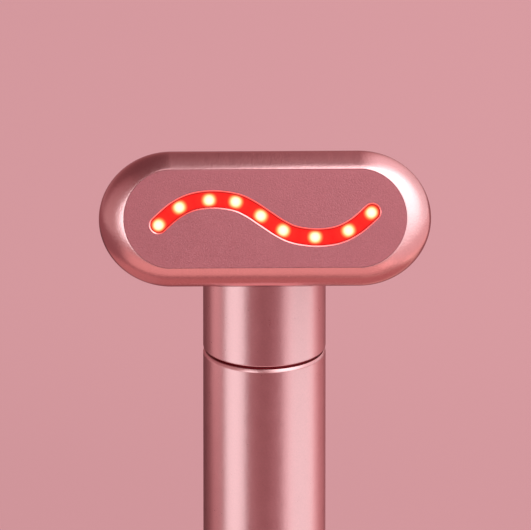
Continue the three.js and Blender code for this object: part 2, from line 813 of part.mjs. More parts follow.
function makeStatusLight() {
  const z = statusHeight;
  const ledFront = boardFront + statusLedHeight;
  const collarFront = tubeBore - seatGap;
  const led = block([-statusLedHalfWidth, statusLedHalfWidth], [-ledFront, -boardFront],
    [z - statusLedHalfWidth, z + statusLedHalfWidth]);
  const pipe = join(
    rod('y', lightPipeRadius, -handleRadius, -ledFront - seatGap, { z }),
    rod('y', lightPipeRadius + lightPipeCollar, -collarFront, lightPipeCollarHeight - collarFront, { z }),
  );
  return [
    piece('status_led', led, materials.ledBody),
    piece('status_light_pipe', pipe, materials.clearPlastic),
  ];
}

// An arc-shaped band between two radii, as an outline of radius and angle limits.
function arcBand(innerRadius, outerRadius, from, to) {
  const band = new THREE.Shape();
  band.absarc(0, 0, outerRadius, from, to, false);
  band.absarc(0, 0, innerRadius, to, from, true);
  band.closePath();
  return band;
}

function makeSwivelBushing() {
  const pinAngle = Math.asin(stopPinRadius / stopPinPlace);
  const reach = THREE.MathUtils.degToRad(swivelDegrees + stopMarginDegrees) + pinAngle;
  const slotBottom = bushingTop - stopPinReach - seatGap;
  const slot = new THREE.ExtrudeGeometry(
    arcBand(stopSlotInner, stopSlotOuter, quarterTurn - reach, quarterTurn + reach),
    { depth: bushingTop + overrun - slotBottom, bevelEnabled: false, curveSegments: roundSides / 2 },
  ).translate(0, 0, slotBottom);
  const body = ring(bushingBore, bushingRadius, bushingBottom, bushingTop);
  return piece('swivel_bushing', cut(body, slot), materials.slipRing);
}

function makeFrictionRing() {
  const low = (bushingTop + neckBottom - frictionRingHeight) / 2;
  const high = low + frictionRingHeight;
  const pinHole = rod('z', stopPinRadius + pushGap, low - overrun, high + overrun, { y: stopPinPlace });
  const body = ring(bushingBore + pushGap, tubeBore - frictionRingRim, low, high);
  return piece('friction_ring', cut(body, pinHole), materials.slipRing);
}

function makeStopPin() {
  const span = [bushingTop - stopPinReach, neckFloorTop - pushGap];
  return piece('stop_pin', rod('z', stopPinRadius, ...span, { y: stopPinPlace }), materials.plainSteel);
}

const sleeveScrewPlace = (sleeveRadius + sleeveFlangeRadius) / 2;
const sleeveScrewGrip = sleeveFlangeHeight + neckFloor - bossFloor;

function makeSwivelSleeve() {
  const clipTop = bushingBottom - seatGap;
  const flangeTop = neckFloorTop + sleeveFlangeHeight;
  const grooveRadius = sleeveRadius - clipGrooveDepth;
  const body = turned([
    [sleeveBore, sleeveBottom], [sleeveRadius, sleeveBottom],
    [sleeveRadius, clipTop - clipHeight - pushGap], [grooveRadius, clipTop - clipHeight - pushGap],
    [grooveRadius, clipTop + pushGap], [sleeveRadius, clipTop + pushGap],
    [sleeveRadius, neckFloorTop], [sleeveFlangeRadius, neckFloorTop], [sleeveFlangeRadius, flangeTop],
    [sleeveBore, flangeTop], [sleeveBore, sleeveBottom],
  ]);
  const screwHoles = [-1, 1].map((side) => rod(
    'z',
    boardScrew.shank + pushGap,
    neckFloorTop - overrun,
    flangeTop + overrun,
    { x: side * sleeveScrewPlace },
  ));
  return piece('swivel_sleeve', cut(body, ...screwHoles), materials.plainSteel);
}

function makeSleeveScrews() {
  return [['sleeve_screw_left', -1], ['sleeve_screw_right', 1]].map(([name, side]) => {
    const part = piece(name, screwShape(boardScrew, sleeveScrewGrip), materials.plainSteel);
    const headTop = neckFloorTop + sleeveFlangeHeight + boardScrew.headHeight;
    part.position.set(side * sleeveScrewPlace, 0, headTop);
    return part;
  });
}

function makeRetainingClip() {
  const halfMouth = THREE.MathUtils.degToRad(clipMouthDegrees / 2);
  const inner = sleeveRadius - clipGrooveDepth + pushGap;
  const band = arcBand(inner, clipRadius, halfMouth - quarterTurn, 3 * quarterTurn - halfMouth);
  const clip = new THREE.ExtrudeGeometry(band, {
    depth: clipHeight,
    bevelEnabled: false,
    curveSegments: roundSides / 2,
  }).translate(0, 0, bushingBottom - seatGap - clipHeight);
  return piece('retaining_clip', clip, materials.plainSteel);
}

function neckScrewPlaces() {
  return [-1, 1].map((side) => ({ x: side * neckScrewSpan, y: neckScrewAcross }));
}

function makeNeckHousing() {
  const outside = turned([
    [0, neckBottom], [handleRadius - edgeBreak, neckBottom], [handleRadius, neckBottom + edgeBreak],
    ...domePoints(handleRadius, neckDome),
  ]);
  const inside = turned([
    [0, neckFloorTop], [handleRadius - neckWall, neckFloorTop],
    ...domePoints(handleRadius - neckWall, neckDome - neckWall),
  ]);
  const front = overrun;
  const keptWall = headBody(seatGap + neckHeadWall, front).applyMatrix4(headFrame);
  const bossBack = -headDepth - seatGap - neckBossLength;
  const bosses = neckScrewPlaces().map((place) => (
    rod('z', neckBossRadius, bossBack, -headDepth, place).applyMatrix4(headFrame)
  ));
  const bossHoles = neckScrewPlaces().map((place) => (
    rod('z', boardScrew.shank + pushGap, bossBack + bossFloor, -headDepth, place).applyMatrix4(headFrame)
  ));
  const floorHoles = [-1, 1].map((side) => rod(
    'z',
    boardScrew.shank + pushGap,
    neckFloorTop + sleeveFlangeHeight - sleeveScrewGrip - pushGap,
    neckFloorTop + overrun,
    { x: side * sleeveScrewPlace },
  ));
  const hollow = cut(outside, cut(inside, keptWall));
  const bossesInside = common(join(...bosses), outside);
  return piece('neck_housing', cut(
    join(hollow, bossesInside),
    headBody(seatGap, front).applyMatrix4(headFrame),
    rod('z', neckBore, neckBottom - overrun, neckFloorTop + overrun, {}, roundSides),
    rod('z', stopPinRadius + pushGap, neckBottom - overrun, neckFloorTop + overrun, { y: stopPinPlace }),
    harnessTube(harnessRadius + harnessRoom),
    ...bossHoles,
    ...floorHoles,
  ), materials.satinMetal);
}

function makeHeadShell() {
  const body = cut(headBody(0, -shellTop), headBody(-shellWall, overrun - shellTop));
  const screwHoles = neckScrewPlaces().map((place) => (
    rod('z', boardScrew.shank + pushGap, -headDepth - overrun, overrun - shellFloor, place)
  ));
  const harnessHole = harnessTube(harnessRadius + harnessRoom).applyMatrix4(headFrameInverse);
  return piece('head_shell', cut(body, harnessHole, ...screwHoles), materials.satinMetal);
}

function makeHeadSeal() {
  const low = restGap - shellTop;
  const high = -bezelDepth - restGap;
  return piece('head_seal', cut(
    prism(capsule(grown(headSize, -sealInset)), low, high),
    prism(capsule(grown(headSize, -sealInset - sealWidth)), low - overrun, high + overrun),
  ), materials.softRubber);
}

// Depth and width of the convex bevel between the flat face and the head's side.
function bevelLevels() {
  const start = THREE.MathUtils.degToRad(bevelStartDegrees);
  const levels = [];
  for (let step = arcSteps; step >= 0; step -= 1) {
    const angle = start + (quarterTurn - start) * (step / arcSteps);
    const share = (Math.sin(angle) - Math.sin(start)) / (1 - Math.sin(start));
    const depth = bevelDepth * (1 - Math.cos(angle) / Math.cos(start));
    levels.push({ outline: capsule(between(flatSize, headSize, share)), z: -depth });
  }
  return levels;
}

const lipOpening = grown(flatSize, -landWidth - lipWidth);
const endScrewPlace = headSize.halfLength - (bezelWall + rimEnd + landWidth + lipWidth) / 2;

function endScrewRod(radius, low, high, side) {
  return rod('z', radius, low, high, { x: side * endScrewPlace });
}

function makeHeadBezel() {
  const body = loft([{ outline: capsule(headSize), z: -bezelDepth }, ...bevelLevels()]);
  const pocket = prism(capsule(grown(flatSize, -landWidth)), -plateThickness - seatGap, overrun);
  const opening = prism(capsule(lipOpening), -bezelDepth - overrun, overrun);
  const room = prism(capsule(grown(headSize, -bezelWall)), -bezelDepth - overrun, -lipUnderside);
  const screwHoles = [-1, 1].map((side) => (
    endScrewRod(boardScrew.shank + pushGap, -lipUnderside - overrun, endScrewGrip - lipUnderside, side)
  ));
  return piece('head_bezel', cut(body, pocket, opening, room, ...screwHoles), materials.satinMetal);
}

function makeFacePlate() {
  const slotHalfWidth = windowHalfWidth + windowFit;
  const chamfer = loft([
    { outline: waveOutline(slotHalfWidth), z: -slotChamferDepth },
    { outline: waveOutline(slotHalfWidth + slotChamferWidth), z: 0 },
    { outline: waveOutline(slotHalfWidth + slotChamferWidth), z: overrun },
  ]);
  return piece('face_plate', cut(
    prism(capsule(grown(flatSize, -landWidth - plateGap)), -plateThickness, 0),
    prism(waveOutline(slotHalfWidth), -plateThickness - overrun, overrun),
    chamfer,
  ), materials.blastedPlate);
}

function makeLightWindow() {
  const flangeTop = -plateThickness - seatGap;
  return piece('light_window', join(
    prism(waveOutline(windowHalfWidth), flangeTop - windowFlangeHeight / 2, -windowRecess),
    prism(waveOutline(windowHalfWidth + windowFlange), flangeTop - windowFlangeHeight, flangeTop),
  ), materials.litWindow);
}

const contactPinPlace = {
  x: contactPinShares[0] * flatSize.halfLength,
  y: contactPinShares[1] * flatSize.halfHeight,
};

function makeHeaterFilm() {
  const top = -plateThickness - seatGap;
  return piece('heater_film', cut(
    prism(capsule(grown(lipOpening, -seatGap)), top - filmThickness, top),
    prism(waveOutline(windowHalfWidth + windowFlange + turnGap), top - overrun, top + overrun),
    rod('z', contactPinRadius + seatGap, top - overrun, top + overrun, contactPinPlace),
  ), materials.heaterFilm);
}

function makeContactPin() {
  const pin = rod('z', contactPinRadius, restGap - ledBoardTop, -plateThickness - seatGap, contactPinPlace);
  return piece('plate_contact_pin', pin, materials.brass);
}

function makeLedBoard() {
  const screwHoles = [-1, 1].map((side) => (
    endScrewRod(boardScrew.shank + pushGap, -ledBoardBottom - overrun, overrun - ledBoardTop, side)
  ));
  return piece('led_board', cut(
    prism(capsule(grown(headSize, -bezelWall - seatGap)), -ledBoardBottom, -ledBoardTop),
    ...screwHoles,
  ), materials.circuitBoard);
}

function makeLedBoardScrews() {
  const shank = ledBoardThickness + seatGap + endScrewGrip;
  return [['led_board_screw_left', -1], ['led_board_screw_right', 1]].map(([name, side]) => {
    const part = piece(name, screwShape(boardScrew, shank), materials.plainSteel);
    part.rotation.x = Math.PI;
    part.position.set(side * endScrewPlace, 0, -ledBoardBottom - restGap - boardScrew.headHeight);
    return part;
  });
}

function makeLights() {
  const foot = restGap - ledBoardTop;
  return lightShares.map(([along, across], index) => {
    const half = ledWidth / 2;
    const body = join(
      block([-half, half], [-half, half], [foot, foot + ledHeight]),
      rod('z', ledLensRadius, foot + ledHeight / 2, foot + ledHeight + ledLensHeight),
    );
    const part = piece(`led_${index + 1}`, body, materials.ledBody);
    part.position.set(along * flatSize.halfLength, across * flatSize.halfHeight, 0);
    return part;
  });
}

function makeNeckScrews() {
  const shank = shellWall + seatGap + neckBossLength - 2 * bossFloor;
  return ['neck_screw_left', 'neck_screw_right'].map((name, index) => {
    const part = piece(name, screwShape(boardScrew, shank), materials.plainSteel);
    const place = neckScrewPlaces()[index];
    part.position.set(place.x, place.y, restGap + boardScrew.headHeight - shellFloor);
    return part;
  });
}

const motorPlace = { y: motorAcross, z: -motorDepth };
const motorEnd = motorOffset + motorLength;

function makeMotorCan() {
  const can = rod('x', motorRadius, motorOffset, motorEnd, motorPlace);
  const mouthFoot = motorEnd - motorShaftSink - pushGap;
  const mouth = rod('x', motorShaftRadius + pushGap, mouthFoot, motorEnd + overrun, motorPlace);
  return piece('motor_can', cut(can, mouth), materials.plainSteel);
}

function makeMotorStrap() {
  const { y, z } = motorPlace;
  const middle = (motorOffset + motorEnd) / 2;
  const span = [middle - strapWidth / 2, middle + strapWidth / 2];
  const wideSpan = [span[0] - overrun, span[1] + overrun];
  const inner = motorRadius + pushGap;
  const outer = inner + strapThickness;
  const foot = restGap - shellFloor;
  const arch = join(rod('x', outer, ...span, motorPlace), block(span, [y - outer, y + outer], [foot, z]));
  const feet = block(span, [y - outer - strapFoot, y + outer + strapFoot], [foot, foot + strapThickness]);
  return piece('motor_strap', cut(
    join(arch, feet),
    rod('x', inner, ...wideSpan, motorPlace),
    block(wideSpan, [y - inner, y + inner], [foot - overrun, z]),
  ), materials.brightNickel);
}

// The rotor, with its half-disc weight hanging straight down while the wand stands.
function makeMotorRotor() {
  const far = 2 * weightRadius;
  const shaftStart = motorEnd - motorShaftSink;
  const span = [motorEnd + weightGap, motorEnd + weightGap + weightLength];
  const wideSpan = [span[0] - overrun, span[1] + overrun];
  const halfDisc = cut(
    rod('x', weightRadius, ...span),
    block(wideSpan, [-far, far], [weightHub, far]),
    rod('x', motorShaftRadius + restGap, ...wideSpan),
  );
  const shaft = rod('x', motorShaftRadius, shaftStart, shaftStart + motorShaftLength);
  const parts = [
    piece('motor_shaft', shaft, materials.plainSteel),
    piece('eccentric_weight', halfDisc, materials.brass),
  ];
  for (const part of parts) {
    part.position.set(0, motorPlace.y, motorPlace.z);
    part.rotation.x = tilt - quarterTurn;
  }
  return parts;
}

const switchParts = makeSwitch();

const handle = new THREE.Group();
handle.add(
  makeHandleTube(),
  makeEndCap(),
  makeEndCapSeal(),
  makeEndCapScrew(),
  makeChassis(),
  makeMainBoard(),
  ...makeBoardScrews(),
  ...makeBattery(),
  makeChip('controller_chip', controllerChip, interiorHeight(interiorShares.controllerChip)),
  makeChip('charger_chip', chargerChip, interiorHeight(interiorShares.chargerChip)),
  makeInductor(),
  makeConnector(),
  ...makeSocket(),
  makeButtonTrimRing(),
  makePowerButton(),
  switchParts.body,
  switchParts.plunger,
  ...makeStatusLight(),
  makeSwivelBushing(),
);

const neck = new THREE.Group();
neck.add(
  makeNeckHousing(),
  makeSwivelSleeve(),
  ...makeSleeveScrews(),
  makeRetainingClip(),
  makeFrictionRing(),
  makeStopPin(),
  piece('head_harness', harnessTube(harnessRadius), materials.blackPlastic),
);

const head = new THREE.Group();
head.applyMatrix4(headFrame);
head.add(
  makeHeadBezel(),
  makeHeadSeal(),
  makeHeadShell(),
  makeFacePlate(),
  makeLightWindow(),
  makeHeaterFilm(),
  makeContactPin(),
  makeLedBoard(),
  ...makeLedBoardScrews(),
  ...makeLights(),
  ...makeNeckScrews(),
  makeMotorCan(),
  makeMotorStrap(),
  ...makeMotorRotor(),
);

const wand = new THREE.Group();
wand.add(handle, neck, head);

export default wand;
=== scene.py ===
import json
import math

import bmesh
import bpy
from mathutils import Matrix, Vector


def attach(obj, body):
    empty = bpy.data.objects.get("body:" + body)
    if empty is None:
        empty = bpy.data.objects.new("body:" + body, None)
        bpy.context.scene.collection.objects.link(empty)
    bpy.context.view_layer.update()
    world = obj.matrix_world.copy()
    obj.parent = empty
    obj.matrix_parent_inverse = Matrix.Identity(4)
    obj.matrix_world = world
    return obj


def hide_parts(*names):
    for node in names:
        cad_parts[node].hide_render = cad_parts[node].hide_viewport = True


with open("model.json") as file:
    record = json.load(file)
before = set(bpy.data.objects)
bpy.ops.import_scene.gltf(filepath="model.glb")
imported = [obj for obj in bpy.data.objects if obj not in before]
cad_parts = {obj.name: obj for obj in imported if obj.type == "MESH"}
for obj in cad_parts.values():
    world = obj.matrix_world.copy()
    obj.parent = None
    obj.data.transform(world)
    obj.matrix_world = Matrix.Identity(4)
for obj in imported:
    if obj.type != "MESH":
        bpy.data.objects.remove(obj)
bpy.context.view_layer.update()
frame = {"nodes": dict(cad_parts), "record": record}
mm = 0.001  # shapes are made in millimetres and end up in metres
print("frame loaded")


class Term:  # a shader socket that Python's operators can use
    def __init__(self, shader, socket):
        self.shader = shader
        self.socket = socket

    def joined(self, operation, first, second):
        return self.shader.node("ShaderNodeMath", {"operation": operation}, {0: first, 1: second})

    def __add__(self, other):
        return self.joined("ADD", self, other)

    def __sub__(self, other):
        return self.joined("SUBTRACT", self, other)

    def __rsub__(self, other):
        return self.joined("SUBTRACT", other, self)

    def __mul__(self, other):
        return self.joined("MULTIPLY", self, other)

    def __truediv__(self, other):
        return self.joined("DIVIDE", self, other)

    def __pow__(self, other):
        return self.joined("POWER", self, other)

    __radd__ = __add__
    __rmul__ = __mul__

    def least(self, other):
        return self.joined("MINIMUM", self, other)

    def most(self, other):
        return self.joined("MAXIMUM", self, other)

    def clamped(self):
        return self.shader.node("ShaderNodeMath", {"operation": "ADD", "use_clamp": True}, {0: self, 1: 0.0})

    def swing(self, by):  # turns a pattern from 0 to 1 into a change either way
        return (self - 0.5) * by


class Shader:
    def __init__(self, tree):
        self.tree = tree
        self.tree.nodes.clear()

    def feed(self, socket, value):
        if isinstance(value, Term):
            self.tree.links.new(value.socket, socket)
        elif isinstance(value, tuple) and len(value) == 3 and socket.type == "RGBA":
            socket.default_value = (*value, 1)
        else:
            socket.default_value = value

    def node(self, kind, settings=None, inputs=None, output=0):
        made = self.tree.nodes.new(kind)
        for key, value in (settings or {}).items():
            if key == "stops":
                ramp = made.color_ramp
                while len(ramp.elements) < len(value):
                    ramp.elements.new(0.5)
                for element, (place, colour) in zip(ramp.elements, value):
                    element.position = place
                    element.color = (*colour, 1)
            else:
                setattr(made, key, value)
        for key, value in (inputs or {}).items():
            self.feed(made.inputs[key], value)
        return Term(self, made.outputs[output]) if made.outputs else None

    def place(self):
        return self.node("ShaderNodeTexCoord", output="Object")

    def part(self, vector, axis):
        return self.node("ShaderNodeSeparateXYZ", None, {0: vector}, output=axis)

    def vectors(self, operation, first, second):
        return self.node("ShaderNodeVectorMath", {"operation": operation}, {0: first, 1: tuple(second)},
                         output="Value")

    def ray(self, kind):
        return self.node("ShaderNodeLightPath", output=kind)

    def noise(self, place, size, detail=2.0, rough=0.5):
        return self.node("ShaderNodeTexNoise", None, {
            "Vector": place, "Scale": 1 / (size * mm), "Detail": detail, "Roughness": rough,
        })

    def smooth(self, value, low, high):
        return self.node("ShaderNodeMapRange", {"interpolation_type": "SMOOTHSTEP"}, {
            "Value": value, "From Min": low, "From Max": high,
        })

    def mixed(self, factor, first, second):  # 6, 7 and 2 are the sockets for colours
        return self.node("ShaderNodeMix", {"data_type": "RGBA"}, {0: factor, 6: first, 7: second}, output=2)

    def wavering(self, factor, colour, tones):  # between a darker and a lighter share of one colour
        return self.mixed(factor, *(shaded(colour, tone) for tone in tones))

    def bump(self, height, depth):
        return self.node("ShaderNodeBump", None, {"Height": height, "Distance": depth * mm})

    def surface(self, inputs):
        made = self.node("ShaderNodeBsdfPrincipled", None, inputs)
        self.node("ShaderNodeOutputMaterial", None, {"Surface": made})


finishes = {}  # materials by name


def newMaterial(name):
    material = bpy.data.materials.new(name)
    material.use_nodes = True
    finishes[name] = material
    return Shader(material.node_tree)


def shaded(colour, share):
    return tuple(channel * share for channel in colour)


metalPattern = {"grainDetail": 3.0, "grainRough": 0.6, "peelDetail": 1.0, "tones": (0.8, 1.2)}
mouldedPattern = {"grainRough": 0.6, "cloudScale": 14, "cloudShare": 0.6, "gloss": 0.16, "tones": (0.88, 1.12)}


# Anodised metal: blasted grain, faint clouds and a little change of gloss
def metalFinish(name, look):
    p = metalPattern
    shader = newMaterial(name)
    place = shader.place()
    grain = shader.noise(place, look["grainSize"], p["grainDetail"], p["grainRough"])
    cloud = shader.noise(place, look["cloudSize"])
    peel = shader.noise(place, look["peelSize"], p["peelDetail"])
    tone = (0.5 + grain.swing(look["speckle"]) + cloud.swing(look["clouds"])).clamped()
    shader.surface({
        "Base Color": shader.wavering(tone, look["colour"], p["tones"]),
        "Metallic": 1.0,
        "Roughness": look["roughness"] + grain.swing(look["glossGrain"]) + cloud.swing(look["glossClouds"]),
        "Normal": shader.bump(grain * look["grainDepth"] + peel * look["peelDepth"], 1.0),
    })


# Moulded or painted pieces: fine texture and a slight change of shade
def mouldedFinish(name, look):
    p = mouldedPattern
    shader = newMaterial(name)
    place = shader.place()
    grain = shader.noise(place, look["grainSize"], rough=p["grainRough"])
    cloud = shader.noise(place, look["grainSize"] * p["cloudScale"])
    tone = (cloud * p["cloudShare"] + grain * (1 - p["cloudShare"])).clamped()
    shader.surface({
        "Base Color": shader.wavering(tone, look["colour"], p["tones"]),
        "Roughness": look["roughness"] + grain.swing(p["gloss"]),
        "Normal": shader.bump(grain, look["grainDepth"]),
    })


# A piece that gives off some light, with a fine change of colour. On the slot's edge this glow is painted light
# from the window.
def glowingFinish(name, look):
    shader = newMaterial(name)
    grain = shader.noise(shader.place(), look["grainSize"])
    shader.surface({
        "Base Color": shader.mixed(grain, *look["base"]),
        "Metallic": look["metallic"],
        "Roughness": look["roughness"] + grain.swing(look["gloss"]),
        "Emission Color": shader.mixed(grain, *look["glow"]),
        "Emission Strength": look["strength"],
    })


# Green solder mask over copper lanes
def boardFinish(name, look):
    shader = newMaterial(name)
    place = shader.place()
    grain = shader.noise(place, look["grainSize"])
    lanes = shader.node("ShaderNodeTexBrick", None, {
        "Vector": place, "Scale": 1 / (look["laneWidth"] * mm), "Mortar Size": look["gap"],
        "Mortar Smooth": look["gapSoft"], "Brick Width": look["brickWidth"], "Row Height": look["rowHeight"],
    }, output="Fac")
    shader.surface({
        "Base Color": shader.mixed(lanes, look["mask"], look["lane"]),
        "Roughness": look["roughness"] + grain.swing(look["gloss"]),
        "Normal": shader.bump(lanes * look["laneShare"] + grain * (1 - look["laneShare"]), look["depth"]),
    })


roseMetal = (0.79, 0.50, 0.515)
satin = {
    "colour": roseMetal, "grainSize": 0.26, "grainDepth": 0.012, "cloudSize": 1.6, "speckle": 0.42,
    "clouds": 0.16, "peelSize": 1.1, "peelDepth": 0.007,
}
hardware = {
    "grainSize": 0.25, "grainDepth": 0.002, "cloudSize": 3, "speckle": 0.12, "clouds": 0.1,
    "glossGrain": 0.1, "glossClouds": 0.08, "peelSize": 1.2, "peelDepth": 0.003,
}
metals = {
    "satinMetal": {**satin, "roughness": 0.30, "glossGrain": 0.10, "glossClouds": 0.05},
    "bezelMetal": {**satin, "roughness": 0.245, "glossGrain": 0.03, "glossClouds": 0.02},
    "blastedPlate": {
        "colour": (0.475, 0.190, 0.217), "roughness": 0.44, "grainSize": 0.2, "grainDepth": 0.032,
        "cloudSize": 4, "speckle": 1.1, "clouds": 0.14, "glossGrain": 0.12, "glossClouds": 0.06,
        "peelSize": 1.5, "peelDepth": 0.006,
    },
    "brightEdge": {
        **hardware, "colour": roseMetal, "roughness": 0.2, "grainSize": 0.3, "grainDepth": 0.001,
        "cloudSize": 4, "speckle": 0.06, "clouds": 0.06, "glossGrain": 0.04, "glossClouds": 0.04,
        "peelDepth": 0.002,
    },
    "plainSteel": {**hardware, "colour": (0.62, 0.62, 0.63), "roughness": 0.3},
    "brightNickel": {
        **hardware, "colour": (0.72, 0.69, 0.63), "roughness": 0.22, "grainSize": 0.3, "grainDepth": 0.001,
        "speckle": 0.1, "glossGrain": 0.06, "glossClouds": 0.06,
    },
    "brass": {
        **hardware, "colour": (0.75, 0.54, 0.24), "roughness": 0.28, "clouds": 0.14, "glossGrain": 0.08,
    },
}
moulded = {
    "blackPlastic": {"colour": (0.016, 0.016, 0.018), "roughness": 0.5, "grainSize": 0.12, "grainDepth": 0.006},
    "innerPlastic": {"colour": (0.66, 0.63, 0.61), "roughness": 0.55, "grainSize": 0.2, "grainDepth": 0.006},
    "softRubber": {"colour": (0.035, 0.025, 0.027), "roughness": 0.75, "grainSize": 0.1, "grainDepth": 0.008},
    "slipRing": {"colour": (0.40, 0.02, 0.035), "roughness": 0.55, "grainSize": 0.15, "grainDepth": 0.003},
    "cellWrap": {"colour": (0.05, 0.16, 0.42), "roughness": 0.4, "grainSize": 0.5, "grainDepth": 0.004},
    "heaterFilm": {"colour": (0.48, 0.2, 0.035), "roughness": 0.35, "grainSize": 0.4, "grainDepth": 0.002},
    "ledBody": {"colour": (0.9, 0.85, 0.6), "roughness": 0.3, "grainSize": 0.2, "grainDepth": 0.002},
}
for name, look in metals.items():
    metalFinish(name, look)
for name, look in moulded.items():
    mouldedFinish(name, look)
boardFinish("circuitBoard", {
    "mask": (0.008, 0.085, 0.035), "lane": (0.02, 0.16, 0.07), "laneWidth": 1.2, "gap": 0.05, "gapSoft": 0.2,
    "brickWidth": 3.0, "rowHeight": 0.5, "grainSize": 0.2, "roughness": 0.42, "gloss": 0.15,
    "laneShare": 0.6, "depth": 0.02,
})

# The head's own frame, in which z = 0 is the plate's front, and the wave on it
headPlace = {"tilt": math.radians(21), "forward": 9, "height": 140.9}
headFrame = (Matrix.Translation((0, -headPlace["forward"], headPlace["height"]))
             @ Matrix.Rotation(math.pi / 2 - headPlace["tilt"], 4, "X"))
# Half a length, half a height, and how much of that length is the round end
headSize = {"length": 23.6, "height": 9.6, "end": 10.3}
bevel = {"side": 2.55, "end": 3.45, "depth": 2.9, "start": math.radians(28), "steps": 28}
flatSize = {
    "length": headSize["length"] - bevel["end"],
    "height": headSize["height"] - bevel["side"],
    "end": headSize["end"] - bevel["end"],
}
# Points of the wave and of its lights are shares of the flat's half length and half height
wave = {
    "half": [(0.109, 0.205), (0.213, 0.334), (0.367, 0.389), (0.516, 0.334), (0.64, 0.16), (0.754, -0.12)],
    "samples": 1200, "steps": 120, "endSteps": 20,
}
lights = [
    (-0.752, -0.127), (-0.605, 0.233), (-0.395, 0.375), (-0.207, 0.342), (-0.031, 0.054),
    (0.126, -0.243), (0.351, -0.378), (0.586, -0.25), (0.749, 0.108),
]


def smoothCurve(points, samples):
    made = []
    last = len(points) - 1
    for i in range(samples + 1):
        t = i / samples * last
        k = min(int(t), last - 1)
        w = t - k
        p1, p2 = points[k], points[k + 1]
        p0 = points[max(k - 1, 0)]
        p3 = points[min(k + 2, last)]
        v0, v1 = (p2 - p0) / 2, (p3 - p1) / 2
        cubed = 2 * p1 - 2 * p2 + v0 + v1
        squared = 3 * p2 - 3 * p1 - 2 * v0 - v1
        made.append(cubed * w ** 3 + squared * w ** 2 + v0 * w + p1)
    return made


def evenly(points, count):
    run = [0]
    for a, b in zip(points, points[1:]):
        run.append(run[-1] + (b - a).length)
    made, k = [], 0
    for i in range(count + 1):
        goal = run[-1] * i / count
        while k < len(run) - 2 and run[k + 1] < goal:
            k += 1
        share = (goal - run[k]) / (run[k + 1] - run[k])
        made.append(points[k].lerp(points[k + 1], min(max(share, 0), 1)))
    return made


def onFlat(along, across):
    return Vector((along * flatSize["length"], across * flatSize["height"]))


def waveLine():
    left = [(-along, across) for along, across in reversed(wave["half"])]
    right = [(along, -across) for along, across in wave["half"]]
    points = [onFlat(*shares) for shares in [*left, (0, 0), *right]]
    return evenly(smoothCurve(points, wave["samples"]), wave["steps"])


waveCentre = waveLine()


# One closed ring of corners round the wave, at a half width and a height
def waveRing(bm, half, height):
    line = waveCentre
    runs = [(line[min(i + 1, len(line) - 1)] - line[max(i - 1, 0)]).normalized() for i in range(len(line))]
    outline = [p + Vector((r.y, -r.x)) * half for p, r in zip(line, runs)]
    ends = [(line[-1], runs[-1]), (line[0], -runs[0])]
    above = [p - Vector((r.y, -r.x)) * half for p, r in zip(line, runs)][::-1]
    arcs = []
    for centre, heading in ends:
        start = math.atan2(heading.y, heading.x) - math.pi / 2
        turns = [start + math.pi * k / wave["endSteps"] for k in range(1, wave["endSteps"])]
        arcs.append([centre + Vector((math.cos(turn), math.sin(turn))) * half for turn in turns])
    return [bm.verts.new((p.x, p.y, height)) for p in [*outline, *arcs[0], *above, *arcs[1]]]


# Making pieces. A ring is a list of corners in the order in which they were made.
making = {
    "capsuleSteps": 192, "overrun": 1,  # how far a cutter runs past what it cuts
    "weld": 0.0003, "coarseWeld": 0.0005, "onEdge": 0.002, "shadingWeight": 60,
}


def circle(bm, radius, steps):
    return bmesh.ops.create_circle(bm, cap_ends=False, radius=radius, segments=steps)["verts"]


def capsuleRing(bm, size, height):
    steps = making["capsuleSteps"]
    ring = circle(bm, 1, steps)
    bmesh.ops.rotate(bm, verts=ring, cent=(0, 0, 0), matrix=Matrix.Rotation(math.pi / steps, 3, "Z"))
    for corner in ring:
        side = math.copysign(1, corner.co.x)
        corner.co = (side * (size["length"] - size["end"]) + corner.co.x * size["end"],
                     corner.co.y * size["height"], height)
    return ring


def hexRing(bm, radius, height):
    ring = circle(bm, radius, 6)
    bmesh.ops.translate(bm, verts=ring, vec=(0, 0, height))
    return ring


def grown(size, by):
    return {key: value + by for key, value in size.items()}


def between(inner, outer, share):
    return {key: inner[key] + (outer[key] - inner[key]) * share for key in inner}


# Bands of faces from ring to ring. All rings have as many corners, made in the same order.
def joinRings(bm, rings):
    for low, high in zip(rings, rings[1:]):
        for k in range(len(low)):
            bm.faces.new((low[k - 1], low[k], high[k], high[k - 1]))


def edgesOf(bm, *rings):
    return [bm.edges.get(pair) for ring in rings for pair in zip(ring, ring[1:] + ring[:1])]


def lofted(rings, closed=False):
    bm = bmesh.new()
    made = [make(bm, *values) for make, *values in rings]
    joinRings(bm, made + made[:1] if closed else made)
    if not closed:
        bm.faces.new(made[0])
        bm.faces.new(made[-1])
    return bm


# A turned piece: a profile of radius and height spun about the z axis
def spun(profile, steps, closed=False):
    bm = bmesh.new()
    corners = [bm.verts.new((radius, 0, height)) for radius, height in profile]
    pairs = list(zip(corners, corners[1:])) + ([(corners[-1], corners[0])] if closed else [])
    edges = [bm.edges.new(pair) for pair in pairs if pair[0].co.x + pair[1].co.x > 0]
    bmesh.ops.spin(bm, geom=corners + edges, cent=(0, 0, 0), axis=(0, 0, 1), angle=math.tau,
                   steps=steps, use_merge=True)
    bmesh.ops.remove_doubles(bm, verts=bm.verts, dist=making["coarseWeld"])
    bmesh.ops.recalc_face_normals(bm, faces=bm.faces)
    return bm


def rounded(bm, edges, offset, segments, **more):
    bmesh.ops.bevel(bm, geom=edges, offset=offset, segments=segments, profile=0.5, affect="EDGES", material=-1,
                    **more)


def softenRing(bm, radius, height, offset, segments):
    def onRing(corner):
        return (abs(math.hypot(corner.co.x, corner.co.y) - radius) < making["onEdge"]
                and abs(corner.co.z - height) < making["onEdge"])
    rounded(bm, [edge for edge in bm.edges if all(onRing(corner) for corner in edge.verts)], offset, segments)


